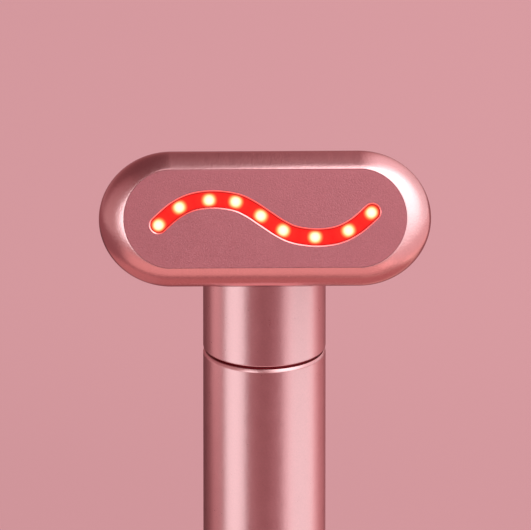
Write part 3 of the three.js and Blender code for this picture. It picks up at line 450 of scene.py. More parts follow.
def rodCutter(radius, low, high, place=(0, 0), steps=96):
    bm = bmesh.new()
    bmesh.ops.create_cone(bm, cap_ends=True, segments=steps, radius1=radius, radius2=radius, depth=high - low)
    bmesh.ops.translate(bm, verts=bm.verts, vec=(*place, (low + high) / 2))
    return bm


def addBox(bm, size, middle):
    corners = bmesh.ops.create_cube(bm, size=1)["verts"]
    bmesh.ops.scale(bm, vec=size, verts=corners)
    bmesh.ops.translate(bm, verts=corners, vec=middle)


def turnedTo(bm, matrix):
    bmesh.ops.transform(bm, matrix=matrix, verts=bm.verts)
    return bm


# Where a turned piece goes that looks forward out of the handle
def facingFront(height):
    return Matrix.Translation((0, 0, height)) @ Matrix.Rotation(math.pi / 2, 4, "X")


def cleaned(bm):
    bmesh.ops.remove_doubles(bm, verts=bm.verts, dist=making["weld"])
    bmesh.ops.recalc_face_normals(bm, faces=bm.faces)
    return bm


def objectFrom(bm, name):
    mesh = bpy.data.meshes.new(name)
    bm.to_mesh(mesh)
    bm.free()
    made = bpy.data.objects.new(name, mesh)
    bpy.context.scene.collection.objects.link(made)
    return made


# A solid with some shapes joined to it, and then others cut from it
def carved(bm, *cutters, joins=()):
    solid, *tools = [objectFrom(cleaned(shape), "shape") for shape in (bm, *joins, *cutters)]
    for k, tool in enumerate(tools):
        change = solid.modifiers.new("shape", "BOOLEAN")
        change.operation = "UNION" if k < len(joins) else "DIFFERENCE"
        change.solver = "EXACT"
        change.object = tool
    bpy.context.view_layer.update()
    shaped = solid.evaluated_get(bpy.context.evaluated_depsgraph_get())
    result = bmesh.new()
    result.from_mesh(shaped.to_mesh())
    shaped.to_mesh_clear()
    for thing in (solid, *tools):
        mesh = thing.data
        bpy.data.objects.remove(thing)
        bpy.data.meshes.remove(mesh)
    bmesh.ops.remove_doubles(result, verts=result.verts, dist=making["coarseWeld"])
    return result


def finishPiece(name, bm, body, nodes, slotName, *looks, sharp=32, place=None):
    cleaned(bm)
    if place is not None:
        bmesh.ops.transform(bm, matrix=place, verts=bm.verts)
    bmesh.ops.scale(bm, vec=(mm, mm, mm), verts=bm.verts)
    made = objectFrom(bm, name)
    made.data.shade_smooth()
    made.data.set_sharp_from_angle(angle=math.radians(sharp))
    for look in looks:
        made.data.materials.append(finishes[look])
    change = made.modifiers.new("evenShading", "WEIGHTED_NORMAL")
    change.keep_sharp = True
    change.weight = making["shadingWeight"]
    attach(made, body)
    if nodes:
        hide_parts(*nodes)


# Camera, floor and room. The width shown is the photograph's pixels times the size of one.
view = {"azimuth": -0.8, "elevation": 21.0, "lens": 1200, "sensor": 36, "widthShown": 531 * 0.1426,
        "aimHeight": 130.38, "aimAside": 0.16, "nearest": 0.01, "farthest": 100}


# The way to something seen from the middle, with azimuth 0 in front and growing to the right
def pointed(azimuth, rise):
    turn, lift = math.radians(azimuth), math.radians(rise)
    return Vector((math.sin(turn) * math.cos(lift), -math.cos(turn) * math.cos(lift), math.sin(lift)))


def makeCamera():
    camera = bpy.data.objects.new("camera", bpy.data.cameras.new("camera"))
    bpy.context.scene.collection.objects.link(camera)
    camera.data.lens = view["lens"]
    camera.data.sensor_width = view["sensor"]
    turn = math.radians(view["azimuth"])
    back = pointed(view["azimuth"], view["elevation"])
    aim = Vector((math.cos(turn), math.sin(turn), 0)) * view["aimAside"] + Vector((0, 0, view["aimHeight"]))
    distance = view["widthShown"] * view["lens"] / view["sensor"]
    camera.location = (aim + back * distance) * mm
    camera.rotation_mode = "QUATERNION"
    camera.rotation_quaternion = (-back).to_track_quat("-Z", "Y")
    camera.data.clip_start = view["nearest"]
    camera.data.clip_end = view["farthest"]
    bpy.context.scene.camera = camera


# Pink paper. The camera sees it partly in painted light of its own, an emission stronger on the right and far
# behind. The metal mirrors the paper darker, with painted shade that is darkest in a corner behind on the left.
floorLook = {
    "radius": 9, "steps": 64, "colour": (0.66, 0.33, 0.35), "tones": (0.97, 1.03),
    "grainSize": 1.2, "grainDetail": 3.0, "grainShare": 0.3, "cloudSize": 160,
    "fill": (0.79, 0.405, 0.44), "fillShare": 0.62, "fillTones": (0.90, 1.03),
    "slant": 80, "slantShare": 0.42, "behind": (0.22, 0.34), "behindShare": 0.52, "toneShare": 0.06,
    "mirrored": (0.300, 0.108, 0.118), "mirroredShare": 0.94,
    "corner": (-130, 235, 0), "shadeReach": 210, "shadeTone": 0.3,
}


def makeFloor():
    f = floorLook
    bm = bmesh.new()
    bmesh.ops.create_circle(bm, cap_ends=True, radius=f["radius"], segments=f["steps"])
    floor = objectFrom(bm, "floor")
    shader = newMaterial("paper")
    place = shader.place()
    grain = shader.noise(place, f["grainSize"], f["grainDetail"])
    cloud = shader.noise(place, f["cloudSize"])
    tone = (grain * f["grainShare"] + cloud * (1 - f["grainShare"])).clamped()
    paper = shader.node("ShaderNodeBsdfDiffuse", None, {
        "Color": shader.wavering(tone, f["colour"], f["tones"]),
    })
    # painted light: the paper's emission grows lighter towards the right and far behind
    aside = (shader.part(place, 0) / (f["slant"] * mm) + 0.5) * f["slantShare"]
    behind = shader.smooth(shader.part(place, 1), *f["behind"]) * f["behindShare"]
    light = (aside + behind + tone * f["toneShare"]).clamped()
    # painted shade in what the metal mirrors, darkest at this corner
    toCorner = shader.vectors("DISTANCE", place, Vector(f["corner"]) * mm)
    corner = shader.smooth(toCorner, 0, f["shadeReach"] * mm)
    mirrored = shader.ray("Is Glossy Ray")
    fill = shader.node("ShaderNodeEmission", None, {"Color": shader.mixed(
        mirrored, shader.wavering(light, f["fill"], f["fillTones"]),
        shader.wavering(corner, f["mirrored"], (f["shadeTone"], 1)))})
    seen = shader.ray("Is Camera Ray") + shader.ray("Is Transmission Ray")
    share = seen * f["fillShare"] + mirrored * f["mirroredShare"]
    both = shader.node("ShaderNodeMixShader", None, {0: share, 1: paper, 2: fill})
    shader.node("ShaderNodeOutputMaterial", None, {"Surface": both})
    floor.data.materials.append(finishes["paper"])


# The room that the metal mirrors: dusky rose overhead, a large soft window high on the right, and a
# small and a wide one low on the left. The camera sees one even colour.
room = {
    "ground": 0.06, "horizon": 0.16, "hazePower": 2.0, "seen": (0.645, 0.306, 0.328), "top": 2.2,
    "windows": {
        "right": {"azimuth": 46, "rise": 40, "even": 0.40, "slope": 0.5, "core": 1.15, "from": 0.78, "to": 1.0},
        "left": {"azimuth": -27, "rise": 18.5, "even": 0, "slope": 0, "core": 2.2, "from": 0.960, "to": 0.99},
        "leftWide": {"azimuth": -58, "rise": 12, "even": 0, "slope": 0, "core": 0.17, "from": 0.7, "to": 1.0},
    },
    "shade": (-0.02, 0.34),
    "tints": [
        (0.0, (0.10, 0.03, 0.033)), (0.06, (0.18, 0.06, 0.065)), (0.11, (0.30, 0.11, 0.115)),
        (0.17, (0.40, 0.17, 0.18)), (0.30, (0.56, 0.30, 0.30)), (0.50, (0.79, 0.50, 0.50)),
        (0.73, (1.0, 0.73, 0.74)), (1.0, (1.2, 1.0, 1.0)), (1.5, (1.6, 1.5, 1.5)), (2.2, (2.2, 2.2, 2.2)),
    ],
}


def makeRoom():
    world = bpy.data.worlds.new("room")
    bpy.context.scene.world = world
    world.use_nodes = True
    shader = Shader(world.node_tree)
    way = shader.node("ShaderNodeTexCoord", output="Generated")
    windows = {}
    for side, look in room["windows"].items():
        facing = shader.vectors("DOT_PRODUCT", way, pointed(look["azimuth"], look["rise"]))
        windows[side] = (facing * look["slope"] + look["even"]
                         + shader.smooth(facing, look["from"], look["to"]) * look["core"])
    haze = (1.0 - shader.part(way, 2).clamped()) ** room["hazePower"] * room["horizon"] + room["ground"]
    right = windows["right"] * shader.smooth(shader.part(way, 0), *room["shade"])
    level = haze + right + windows["left"] + windows["leftWide"]
    sky = shader.node("ShaderNodeValToRGB", {
        "stops": [(place / room["top"], shaded(colour, 1 / room["top"])) for place, colour in room["tints"]],
    }, {0: (level / room["top"]).clamped()})
    shown = shader.mixed(shader.ray("Is Camera Ray"), sky, shaded(room["seen"], 1 / room["top"]))
    glow = shader.node("ShaderNodeBackground", None, {"Color": shown, "Strength": room["top"]})
    shader.node("ShaderNodeOutputWorld", None, {"Surface": glow})


makeCamera()
makeFloor()
makeRoom()
print("camera, floor and room made")

# Handle. Both holes are cut within a band of faces, which reaches "band" above and below the button.
tube = {
    "radius": 8.75, "bore": 7.65, "low": 9.15, "edge": 0.3, "edgeSoft": 0.1, "steps": 256, "band": 9,
    "ridge": 117.72, "chamferWide": 0.21, "chamferHigh": 0.46, "chamferSoft": 0.08, "innerBevel": 0.35,
    "button": 81.87, "light": 74.54, "buttonHole": 4.62, "lightHole": 0.74, "cut": (2, 12),
}


def makeTube():
    t = tube
    chamferLow = t["ridge"] - t["chamferHigh"]
    bm = spun([
        (t["bore"], t["low"]), (t["radius"] - t["edge"], t["low"]), (t["radius"], t["low"] + t["edge"]),
        (t["radius"], t["button"] - t["band"]), (t["radius"], t["button"] + t["band"]),
        (t["radius"], chamferLow), (t["radius"] - t["chamferWide"], t["ridge"]),
        (t["bore"], t["ridge"] - t["innerBevel"]),
    ], t["steps"], closed=True)
    softenRing(bm, t["radius"], chamferLow, t["chamferSoft"], segments=4)
    softenRing(bm, t["radius"] - t["chamferWide"], t["ridge"], t["chamferSoft"], segments=4)
    softenRing(bm, t["radius"], t["low"] + t["edge"], t["edgeSoft"], segments=3)
    holes = [turnedTo(rodCutter(t[hole], *t["cut"]), facingFront(t[height]))
             for hole, height in (("buttonHole", "button"), ("lightHole", "light"))]
    finishPiece("handleTube", carved(bm, *holes), "handle", ["handle_tube"], "satin_metal", "satinMetal")


cap = {
    "radius": 8.75, "high": 9, "round": 1, "seamSoft": 0.15, "floor": 1.6, "spigot": 7.5, "bore": 6.4,
    "spigotHigh": 14, "steps": 192, "screwPlace": 3.7, "counterbore": 2.05, "counterDepth": 1.5,
    "counterFlare": 0.2, "counterSteps": 96, "shankHole": 1.1, "shankTop": 3, "shankSteps": 48,
}
port = {"place": 3.4, "length": 4.47, "height": 1.63, "gap": 0.12, "flare": 0.22}
portPlace = Matrix.Translation((0, -port["place"], 0))


def portSize(by):
    return {"length": port["length"] + by, "height": port["height"] + by, "end": port["height"] + by}


def makeEndCap():
    c = cap
    past = making["overrun"]
    bm = spun([
        (0, 0), (c["radius"], 0), (c["radius"], c["high"]), (c["spigot"], c["high"]),
        (c["spigot"], c["spigotHigh"]), (c["bore"], c["spigotHigh"]), (c["bore"], c["floor"]), (0, c["floor"]),
    ], c["steps"])
    softenRing(bm, c["radius"], 0, c["round"], segments=10)
    softenRing(bm, c["radius"], c["high"], c["seamSoft"], segments=3)
    portHole = turnedTo(lofted([
        (capsuleRing, portSize(port["gap"] + port["flare"] * 2), -port["flare"]),
        (capsuleRing, portSize(port["gap"]), port["flare"]),
        (capsuleRing, portSize(port["gap"]), c["spigotHigh"]),
    ]), portPlace)
    counterbore = turnedTo(spun([
        (0, -past), (c["counterbore"] + c["counterFlare"] + past, -past), (c["counterbore"], c["counterFlare"]),
        (c["counterbore"], c["counterDepth"]), (0, c["counterDepth"]),
    ], c["counterSteps"]), Matrix.Translation((0, c["screwPlace"], 0)))
    shankHole = rodCutter(c["shankHole"], 0, c["shankTop"], (0, c["screwPlace"]), c["shankSteps"])
    finishPiece("endCap", carved(bm, portHole, counterbore, shankHole), "handle", ["end_cap"], "satin_metal",
                "satinMetal")


capScrew = {
    "head": 1.9, "headHigh": 1.1, "headSoft": 0.363, "shank": 0.95, "length": 10, "point": 0.475, "sunk": 0.4,
    "key": 0.9, "keyDepth": 0.6, "keyFlare": 0.12, "keyEdge": 0.06, "steps": 64,
}


def makeEndCapScrew():
    s = capScrew
    tip = -s["headHigh"] - s["length"]
    bm = spun([
        (0, tip), (s["point"], tip), (s["shank"], tip + s["point"]), (s["shank"], -s["headHigh"]),
        (s["head"], -s["headHigh"]), (s["head"], 0), (0, 0),
    ], s["steps"])
    softenRing(bm, s["head"], 0, s["headSoft"], segments=5)
    key = lofted([
        (hexRing, s["key"] + s["keyFlare"], s["keyEdge"]), (hexRing, s["key"], -s["keyEdge"]),
        (hexRing, s["key"], -s["keyDepth"]),
    ])
    down = Matrix.Translation((0, cap["screwPlace"], s["sunk"])) @ Matrix.Rotation(math.pi, 4, "X")
    finishPiece("endCapScrew", carved(bm, key), "handle", ["end_cap_screw"], "plain_steel", "plainSteel",
                place=down)


usbShell = {"low": 0.4, "high": 7.75, "wall": 0.3, "mouthDepth": 0.12, "mouthRound": 0.1, "back": 1.2}
tongue = {"size": (6.7, 0.7, 5.25), "low": 1, "edge": 0.1}
pads = {"size": (0.25, 0.04, 2.6), "low": 1.35, "out": 0.35, "count": 12, "pitch": 0.5}


def makeSocket():
    s = usbShell
    shoulder = s["low"] + s["mouthDepth"]
    bm = lofted([(capsuleRing, portSize(by), height) for by, height in (
        (0, s["high"]), (0, shoulder), (-s["mouthRound"], s["low"]), (-2 * s["mouthRound"], s["low"]),
        (-s["wall"], shoulder), (-s["wall"], s["high"] - s["back"]),
    )])
    finishPiece("usbSocket", bm, "handle", ["usb_socket"], "plain_steel", "plainSteel", place=portPlace)
    bm = bmesh.new()
    addBox(bm, tongue["size"], (0, 0, tongue["low"] + tongue["size"][2] / 2))
    rounded(bm, bm.edges[:], tongue["edge"], segments=3)
    finishPiece("usbTongue", bm, "handle", ["usb_tongue"], "black_plastic", "blackPlastic", place=portPlace)
    bm = bmesh.new()
    for side in (-1, 1):
        for k in range(pads["count"]):
            addBox(bm, pads["size"], ((k - (pads["count"] - 1) / 2) * pads["pitch"], side * pads["out"],
                                      pads["low"] + pads["size"][2] / 2))
    finishPiece("usbPads", bm, "handle", [], "brass", "brass", place=portPlace)


# Heights are distances from the handle's axis. What is above "bent" follows the handle's roundness.
button = {
    "radius": 3.7, "crown": 9.05, "edge": 0.22, "dish": 0.28, "dishRadius": 3.1, "dishSteps": 16, "flange": 4.2,
    "flangeFront": 6.15, "flangeBack": 5.6, "neck": 7.6, "bent": 7.7, "steps": 128,
}
trimRing = {
    "bore": 3.85, "radius": 4.55, "crown": 8.9, "back": 6.45, "waist": 7.2, "bent": 7.3, "edge": 0.16,
    "steps": 128,
}


def laidOnHandle(bm, look):
    crown = look["crown"]
    for corner in bm.verts:
        if corner.co.z > look["bent"]:
            corner.co.z -= crown - math.sqrt(crown ** 2 - corner.co.x ** 2)
    return turnedTo(bm, facingFront(tube["button"]))


def makeButton():
    b = button
    face = []
    for k in range(b["dishSteps"] + 1):
        share = k / b["dishSteps"]
        face.append((b["dishRadius"] * share, b["crown"] - b["dish"] * (1 + math.cos(math.pi * share)) / 2))
    bm = spun([
        (0, b["flangeBack"]), (b["flange"], b["flangeBack"]), (b["flange"], b["flangeFront"]),
        (b["radius"], b["flangeFront"]), (b["radius"], b["neck"]), (b["radius"], b["crown"]), *face[::-1],
    ], b["steps"])
    softenRing(bm, b["radius"], b["crown"], b["edge"], segments=6)
    finishPiece("powerButton", laidOnHandle(bm, b), "button", ["power_button"], "satin_metal", "satinMetal",
                sharp=50)


def makeTrimRing():
    r = trimRing
    bm = spun([
        (r["bore"], r["back"]), (r["radius"], r["back"]), (r["radius"], r["waist"]),
        (r["radius"], r["crown"]), (r["bore"], r["crown"]), (r["bore"], r["waist"]),
    ], r["steps"], closed=True)
    softenRing(bm, r["radius"], r["crown"], r["edge"], segments=4)
    softenRing(bm, r["bore"], r["crown"], r["edge"], segments=4)
    finishPiece("buttonTrimRing", laidOnHandle(bm, r), "handle", ["button_trim_ring"], "satin_metal",
                "brightEdge", sharp=50)


lightPipe = {
    "profile": [(0, 4.9), (0.65, 4.9), (0.65, 6.75), (1.15, 6.75), (1.15, 7.35), (0.65, 7.35), (0.65, 8.62),
                (0.55, 8.7), (0.3, 8.74), (0, 8.75)],
    "steps": 48, "grainSize": 0.2, "metallic": 0.0, "roughness": 0.3, "gloss": 0.1, "strength": 0.5,
    "base": ((0.86, 0.78, 0.76), (0.95, 0.88, 0.86)), "glow": ((1.0, 0.86, 0.8), (1.0, 0.92, 0.88)),
}


def makeLightPipe():
    glowingFinish("softGlow", lightPipe)
    bm = turnedTo(spun(lightPipe["profile"], lightPipe["steps"]), facingFront(tube["light"]))
    finishPiece("statusLightPipe", bm, "handle", ["status_light_pipe"], "clear_plastic", "softGlow")


makeTube()
makeEndCap()
makeEndCapScrew()
makeSocket()
makeButton()
makeTrimRing()
makeLightPipe()
print("handle made")

# Neck, and the head shell that it is cut to. "sunk" is how far from the back of a boss a hole begins.
neck = {
    "radius": 8.75, "bore": 4.35, "wall": 1.3, "low": 118.35, "floorTop": 120.35, "edge": 0.24, "skirt": 0.25,
    "skirtBore": 7.65, "domeBase": 136, "dome": 7, "domeSteps": 28, "steps": 256, "hollowSteps": 96,
    "gap": 0.03, "innerGap": 0.3, "headWall": 1.6, "boss": 1.9, "bossLength": 3.9,
    "cutEdge": 0.12, "cutAngle": 0.5, "cutAbove": 124, "cutWithin": 0.03,
}
screwHole = {"radius": 0.75, "places": [(-4.5, -1.8), (4.5, -1.8)], "sunk": 0.5, "steps": 32}
wireHole = {"radius": 1.5, "places": [(0, -4.5)], "sunk": 1, "steps": 48}
shell = {
    "top": 4.2, "depth": 10.2, "fillet": 3, "filletSteps": 10, "wall": 1.2, "edge": 0.15, "cut": (-12, -7),
}


def domeLine(radius, height):
    turns = [math.pi / 2 * k / neck["domeSteps"] for k in range(neck["domeSteps"])]
    return [(radius * math.cos(turn), neck["domeBase"] + height * math.sin(turn)) for turn in turns] + [
        (0, neck["domeBase"] + height)]


# The rounded edge of the head's back, from its flat to its side, grown all round
def filletRings(by):
    rings = []
    for k in range(shell["filletSteps"] + 1):
        angle = math.pi / 2 * k / shell["filletSteps"]
        reach = shell["fillet"] + by
        rings.append((capsuleRing, grown(headSize, reach * math.sin(angle) - shell["fillet"]),
                      shell["fillet"] - shell["depth"] - reach * math.cos(angle)))
    return rings


def headEnvelope(by):
    front = (capsuleRing, grown(headSize, by), making["overrun"])
    return turnedTo(lofted([*filletRings(by), front]), headFrame)


def drills(holes, low, high):
    return [rodCutter(hole["radius"], low + hole["sunk"], high, place, hole["steps"])
            for hole in holes for place in hole["places"]]


def makeNeck():
    n = neck
    past = making["overrun"]
    inner = n["radius"] - n["wall"]
    skirtLow = n["low"] - n["skirt"]
    outside = spun([
        (0, n["low"]), (n["skirtBore"], n["low"]), (n["skirtBore"], skirtLow), (n["radius"], skirtLow),
        *domeLine(n["radius"], n["dome"]),
    ], n["steps"])
    softenRing(outside, n["radius"], skirtLow, n["edge"], segments=5)
    cavity = spun([(0, n["floorTop"]), (inner, n["floorTop"]), *domeLine(inner, n["dome"] - n["wall"])],
                  n["hollowSteps"])
    hollow = carved(cavity, headEnvelope(n["innerGap"] + n["headWall"]))
    back = -shell["depth"] - n["innerGap"] - n["bossLength"]
    bosses = [turnedTo(rodCutter(n["boss"], back, -shell["depth"], place), headFrame)
              for place in screwHole["places"]]
    holes = [turnedTo(hole, headFrame) for hole in drills([wireHole, screwHole], back, -shell["depth"])]
    bore = rodCutter(n["bore"], n["low"] - past, n["floorTop"] + past)
    body = carved(carved(outside, hollow), headEnvelope(n["gap"]), bore, *holes, joins=bosses)
    body.normal_update()
    rim = [edge for edge in body.edges
           if len(edge.link_faces) == 2 and edge.calc_face_angle() > n["cutAngle"]
           and all(corner.co.z > n["cutAbove"]
                   and math.hypot(corner.co.x, corner.co.y) > n["radius"] - n["cutWithin"]
                   for corner in edge.verts)]
    rounded(body, rim, n["cutEdge"], segments=3, clamp_overlap=True)
    finishPiece("neckHousing", body, "head", ["neck_housing"], "satin_metal", "satinMetal")


makeNeck()
print("neck made")

# Head
bezel = {"depth": 3.6, "land": 0.03, "plateGap": 0.015, "ledge": 1.3, "lip": 1.5, "lipDepth": 2.5, "wall": 1.4}


def bevelRings():
    rings = []
    start = bevel["start"]
    for k in range(bevel["steps"], -1, -1):
        angle = start + (math.pi / 2 - start) * k / bevel["steps"]
        share = (math.sin(angle) - math.sin(start)) / (1 - math.sin(start))
        depth = bevel["depth"] * (1 - math.cos(angle) / math.cos(start))
        rings.append((capsuleRing, between(flatSize, headSize, share), -depth))
    return rings


def makeBezel():
    b = bezel
    mouth = grown(flatSize, -b["land"])
    lip = grown(mouth, -b["lip"])
    inside = grown(headSize, -b["wall"])
    bm = lofted([
        (capsuleRing, inside, -b["depth"]),
        (capsuleRing, grown(headSize, -shell["edge"]), -b["depth"]),
        (capsuleRing, headSize, -b["depth"] + shell["edge"]),
        *bevelRings(),
        (capsuleRing, mouth, 0),
        (capsuleRing, mouth, -b["ledge"]),
        (capsuleRing, lip, -b["ledge"]),
        (capsuleRing, lip, -b["lipDepth"]),
        (capsuleRing, inside, -b["lipDepth"]),
    ], closed=True)
    finishPiece("headBezel", bm, "head", ["head_bezel"], "satin_metal", "bezelMetal", sharp=24, place=headFrame)


# "slot" is a half width. Faces by the slot with a normal's z between the "tilts" are its bright edge.
plate = {
    "thickness": 1, "edge": 0.03, "slot": 1.14, "chamferWide": 0.17, "chamferDeep": 0.06, "tilts": (0.3, 0.97),
}
# the slot's edge is bright cut metal carrying a painted red glow for the window's light falling on it
slotEdge = {  # cut bright, and lit red by the window
    "grainSize": 0.3, "metallic": 1.0, "roughness": 0.26, "gloss": 0.06, "strength": 1.0,
    "base": ((0.57, 0.28, 0.28), (0.63, 0.32, 0.32)), "glow": ((0.80, 0.05, 0.035), (0.86, 0.06, 0.045)),
}


def makePlate():
    p = plate
    outer = grown(flatSize, -bezel["land"] - bezel["plateGap"])
    bm = bmesh.new()
    rim = [capsuleRing(bm, grown(outer, by), height)
           for by, height in ((0, -p["thickness"]), (0, -p["edge"]), (-p["edge"], 0))]
    slot = [waveRing(bm, p["slot"] + by, height)
            for by, height in ((0, -p["thickness"]), (0, -p["chamferDeep"]), (p["chamferWide"], 0))]
    joinRings(bm, rim)
    joinRings(bm, slot)
    for k in (0, -1):
        bmesh.ops.triangle_fill(bm, edges=edgesOf(bm, rim[k], slot[k]), use_beauty=True, normal=(0, 0, 1))
    bmesh.ops.recalc_face_normals(bm, faces=bm.faces)
    least, most = p["tilts"]
    for face in bm.faces:
        middle = face.calc_center_median()
        toWave = min((middle.xy - point).length for point in waveCentre)
        if least < face.normal.z < most and toWave < p["slot"] + p["chamferWide"]:
            face.material_index = 1
    glowingFinish("slotEdge", slotEdge)
    finishPiece("facePlate", bm, "head", ["face_plate"], "blasted_plate", "blastedPlate", "slotEdge", sharp=10,
                place=headFrame)


# "inner" are rings on the window's face, as shares of its half width. The attribute "across" holds such shares.
# The window is white-hot at each light, fades through orange to red within "reach", and from "dimFrom" of its
# half width outwards dims with painted shade of the slot's walls.
window = {
    "half": 1.11, "recess": 0.25, "edge": 0.06, "flange": 0.5, "flangeTop": 1.3, "flangeLow": 1.7,
    "inner": (0.86, 0.72, 0.4), "flangeShare": 1.2,
    "reach": 2.4, "stops": [
        (0.0, (1.0, 1.0, 0.88)), (0.18, (1.0, 1.0, 0.72)), (0.26, (1.0, 0.88, 0.44)), (0.33, (1.0, 0.52, 0.18)),
        (0.41, (1.0, 0.16, 0.045)), (0.51, (1.0, 0.013, 0.006)), (1.0, (0.80, 0.004, 0.003)),
    ],
    "dimFrom": 0.5, "dimWidth": 0.45, "dimPower": 1.6, "dimMost": 0.88, "dimColour": (0.20, 0.003, 0.003),
    "grainSize": 0.3, "base": ((0.5, 0.012, 0.012), (0.58, 0.018, 0.016)), "roughness": 0.22, "gloss": 0.06,
    "specular": 0.25, "strength": 1.12,
}


def windowFinish():
    w = window
    shader = newMaterial("litWindow")
    place = shader.place()
    nearest = None
    for shares in lights:
        spot = headFrame @ Vector((*onFlat(*shares), -w["recess"]))
        gap = shader.vectors("DISTANCE", place, spot * mm)
        nearest = gap if nearest is None else nearest.least(gap)
    far = (nearest / (w["reach"] * mm)).clamped()
    glow = shader.node("ShaderNodeValToRGB", {"stops": w["stops"]}, {0: far})
    across = shader.node("ShaderNodeAttribute", {"attribute_name": "across"}, output="Fac")
    # painted shade of the slot's walls, darkening the window towards its edges
    dim = (((across - w["dimFrom"]) / w["dimWidth"]).most(0.0) ** w["dimPower"]) * w["dimMost"]
    grain = shader.noise(place, w["grainSize"])
    shader.surface({
        "Base Color": shader.mixed(grain, *w["base"]),
        "Roughness": w["roughness"] + grain.swing(w["gloss"]),
        "Specular IOR Level": w["specular"],
        "Emission Color": shader.mixed(dim.clamped(), glow, w["dimColour"]),
        "Emission Strength": w["strength"],
    })


def makeWindow():
    w = window
    half, face = w["half"], -w["recess"]
    bm = bmesh.new()
    across = bm.verts.layers.float.new("across")
    rings = []
    for radius, height, share in (
        (half + w["flange"], -w["flangeLow"], w["flangeShare"]),
        (half + w["flange"], -w["flangeTop"], w["flangeShare"]),
        (half, -w["flangeTop"], w["flangeShare"]), (half, face - w["edge"], 1),
        (half - w["edge"], face, 1 - w["edge"] / half), *((half * share, face, share) for share in w["inner"]),
    ):
        rings.append(waveRing(bm, radius, height))
        for corner in rings[-1]:
            corner[across] = share
    joinRings(bm, rings)
    for ring in (rings[0], rings[-1]):
        bmesh.ops.triangle_fill(bm, edges=edgesOf(bm, ring), use_beauty=True, normal=(0, 0, 1))
    windowFinish()
    finishPiece("lightWindow", bm, "head", ["light_window"], "lit_window", "litWindow", sharp=40,
                place=headFrame)


def makeShell():
    s = shell
    inner = grown(headSize, -s["wall"])
    bm = lofted([
        (capsuleRing, inner, -s["depth"] + s["wall"]),
        (capsuleRing, inner, -s["top"]),
        (capsuleRing, grown(headSize, -s["edge"]), -s["top"]),
        (capsuleRing, headSize, -s["top"] - s["edge"]),
        *filletRings(0)[::-1],
    ])
    low, high = s["cut"]
    holes = [rodCutter(hole["radius"], low, high, place, hole["steps"])
             for hole in (screwHole, wireHole) for place in hole["places"]]
    finishPiece("headShell", carved(bm, *holes), "head", ["head_shell"], "satin_metal", "satinMetal", sharp=24,
                place=headFrame)


seal = {"inner": -1.1, "outer": -0.35, "edge": 0.1, "low": -4.1, "high": -3.7}


def makeHeadSeal():
    s = seal
    shoulder = s["outer"] - s["edge"]
    bm = lofted([(capsuleRing, grown(headSize, by), height) for by, height in (
        (s["inner"], s["low"]), (shoulder, s["low"]), (s["outer"], s["low"] + s["edge"]),
        (s["outer"], s["high"] - s["edge"]), (shoulder, s["high"]), (s["inner"], s["high"]),
    )], closed=True)
    finishPiece("headSeal", bm, "head", ["head_seal"], "soft_rubber", "softRubber", place=headFrame)


makeBezel()
makePlate()
makeWindow()
makeShell()
makeHeadSeal()
print("head made")

# Finishes of the pieces inside
slotFinishes = {
    "circuit_board": "circuitBoard", "black_plastic": "blackPlastic", "inner_plastic": "innerPlastic",
    "soft_rubber": "softRubber", "plain_steel": "plainSteel", "bright_nickel": "brightNickel",
    "brass": "brass", "slip_ring": "slipRing", "cell_wrap": "cellWrap", "heater_film": "heaterFilm",
    "led_body": "ledBody", "satin_metal": "satinMetal", "blasted_plate": "blastedPlate",
    "clear_plastic": "softGlow", "lit_window": "ledBody",
}
for entry in frame["record"]["subparts"]:
    node = frame["nodes"][entry["node"]]
    for slot in node.material_slots:
        slot.link = "OBJECT"
        slot.material = finishes[slotFinishes[entry["material_slot"]]]
print("inner pieces finished")

# Soft panels that the metal shows, so they stand close by. "lit" says what a panel lights: the head's
# outside alone, all else but the paper, or all. Boxes stand upright: azimuth and distance of the middle,
# width, lowest and highest edge, radiance.
byHandle = {"distance": 125, "low": 3, "lit": "rest"}
byHead = {"azimuth": 70, "distance": 190, "width": 380, "lit": "head"}
boxes = {
    "rightLow": {**byHandle, "azimuth": 73.5, "width": 122, "high": 94, "level": 0.96, "tint": (0.87, 1, 1)},
    "rightFade": {**byHandle, "azimuth": 21, "width": 34, "high": 96, "level": 0.10, "tint": (1, 0.50, 0.60)},
    "leftFade": {**byHandle, "azimuth": -21, "width": 34, "high": 116, "level": 0.07, "tint": (1, 0.35, 0.40)},
    "rightOuter": {**byHandle, "azimuth": 106, "width": 44, "high": 94, "level": 0.62, "tint": (1, 0.70, 0.70)},
    "rightFar": {**byHandle, "azimuth": 129, "width": 50, "high": 94, "level": 0.26, "tint": (1, 0.45, 0.45)},
    "rightInner": {**byHandle, "azimuth": 41, "width": 38, "high": 96, "level": 0.72, "tint": (1, 0.92, 0.94)},
    "leftLow": {**byHandle, "azimuth": -57, "width": 94, "high": 116, "level": 1.12, "tint": (0.87, 1, 1)},
    "leftOuter": {**byHandle, "azimuth": -99, "width": 62, "high": 130, "level": 0.25, "tint": (1, 0.62, 0.62)},
    "leftOuterHigh": {**byHandle, "azimuth": -103, "width": 64, "low": 66, "high": 130, "level": 0.26,
                      "tint": (1, 0.75, 0.75)},
    "headRight": {**byHead, "low": 58, "high": 140, "level": 0.62, "tint": (1, 0.72, 0.70)},
    "headRightLow": {**byHead, "low": 3, "high": 58, "level": 0.74, "tint": (1, 0.60, 0.55)},
}
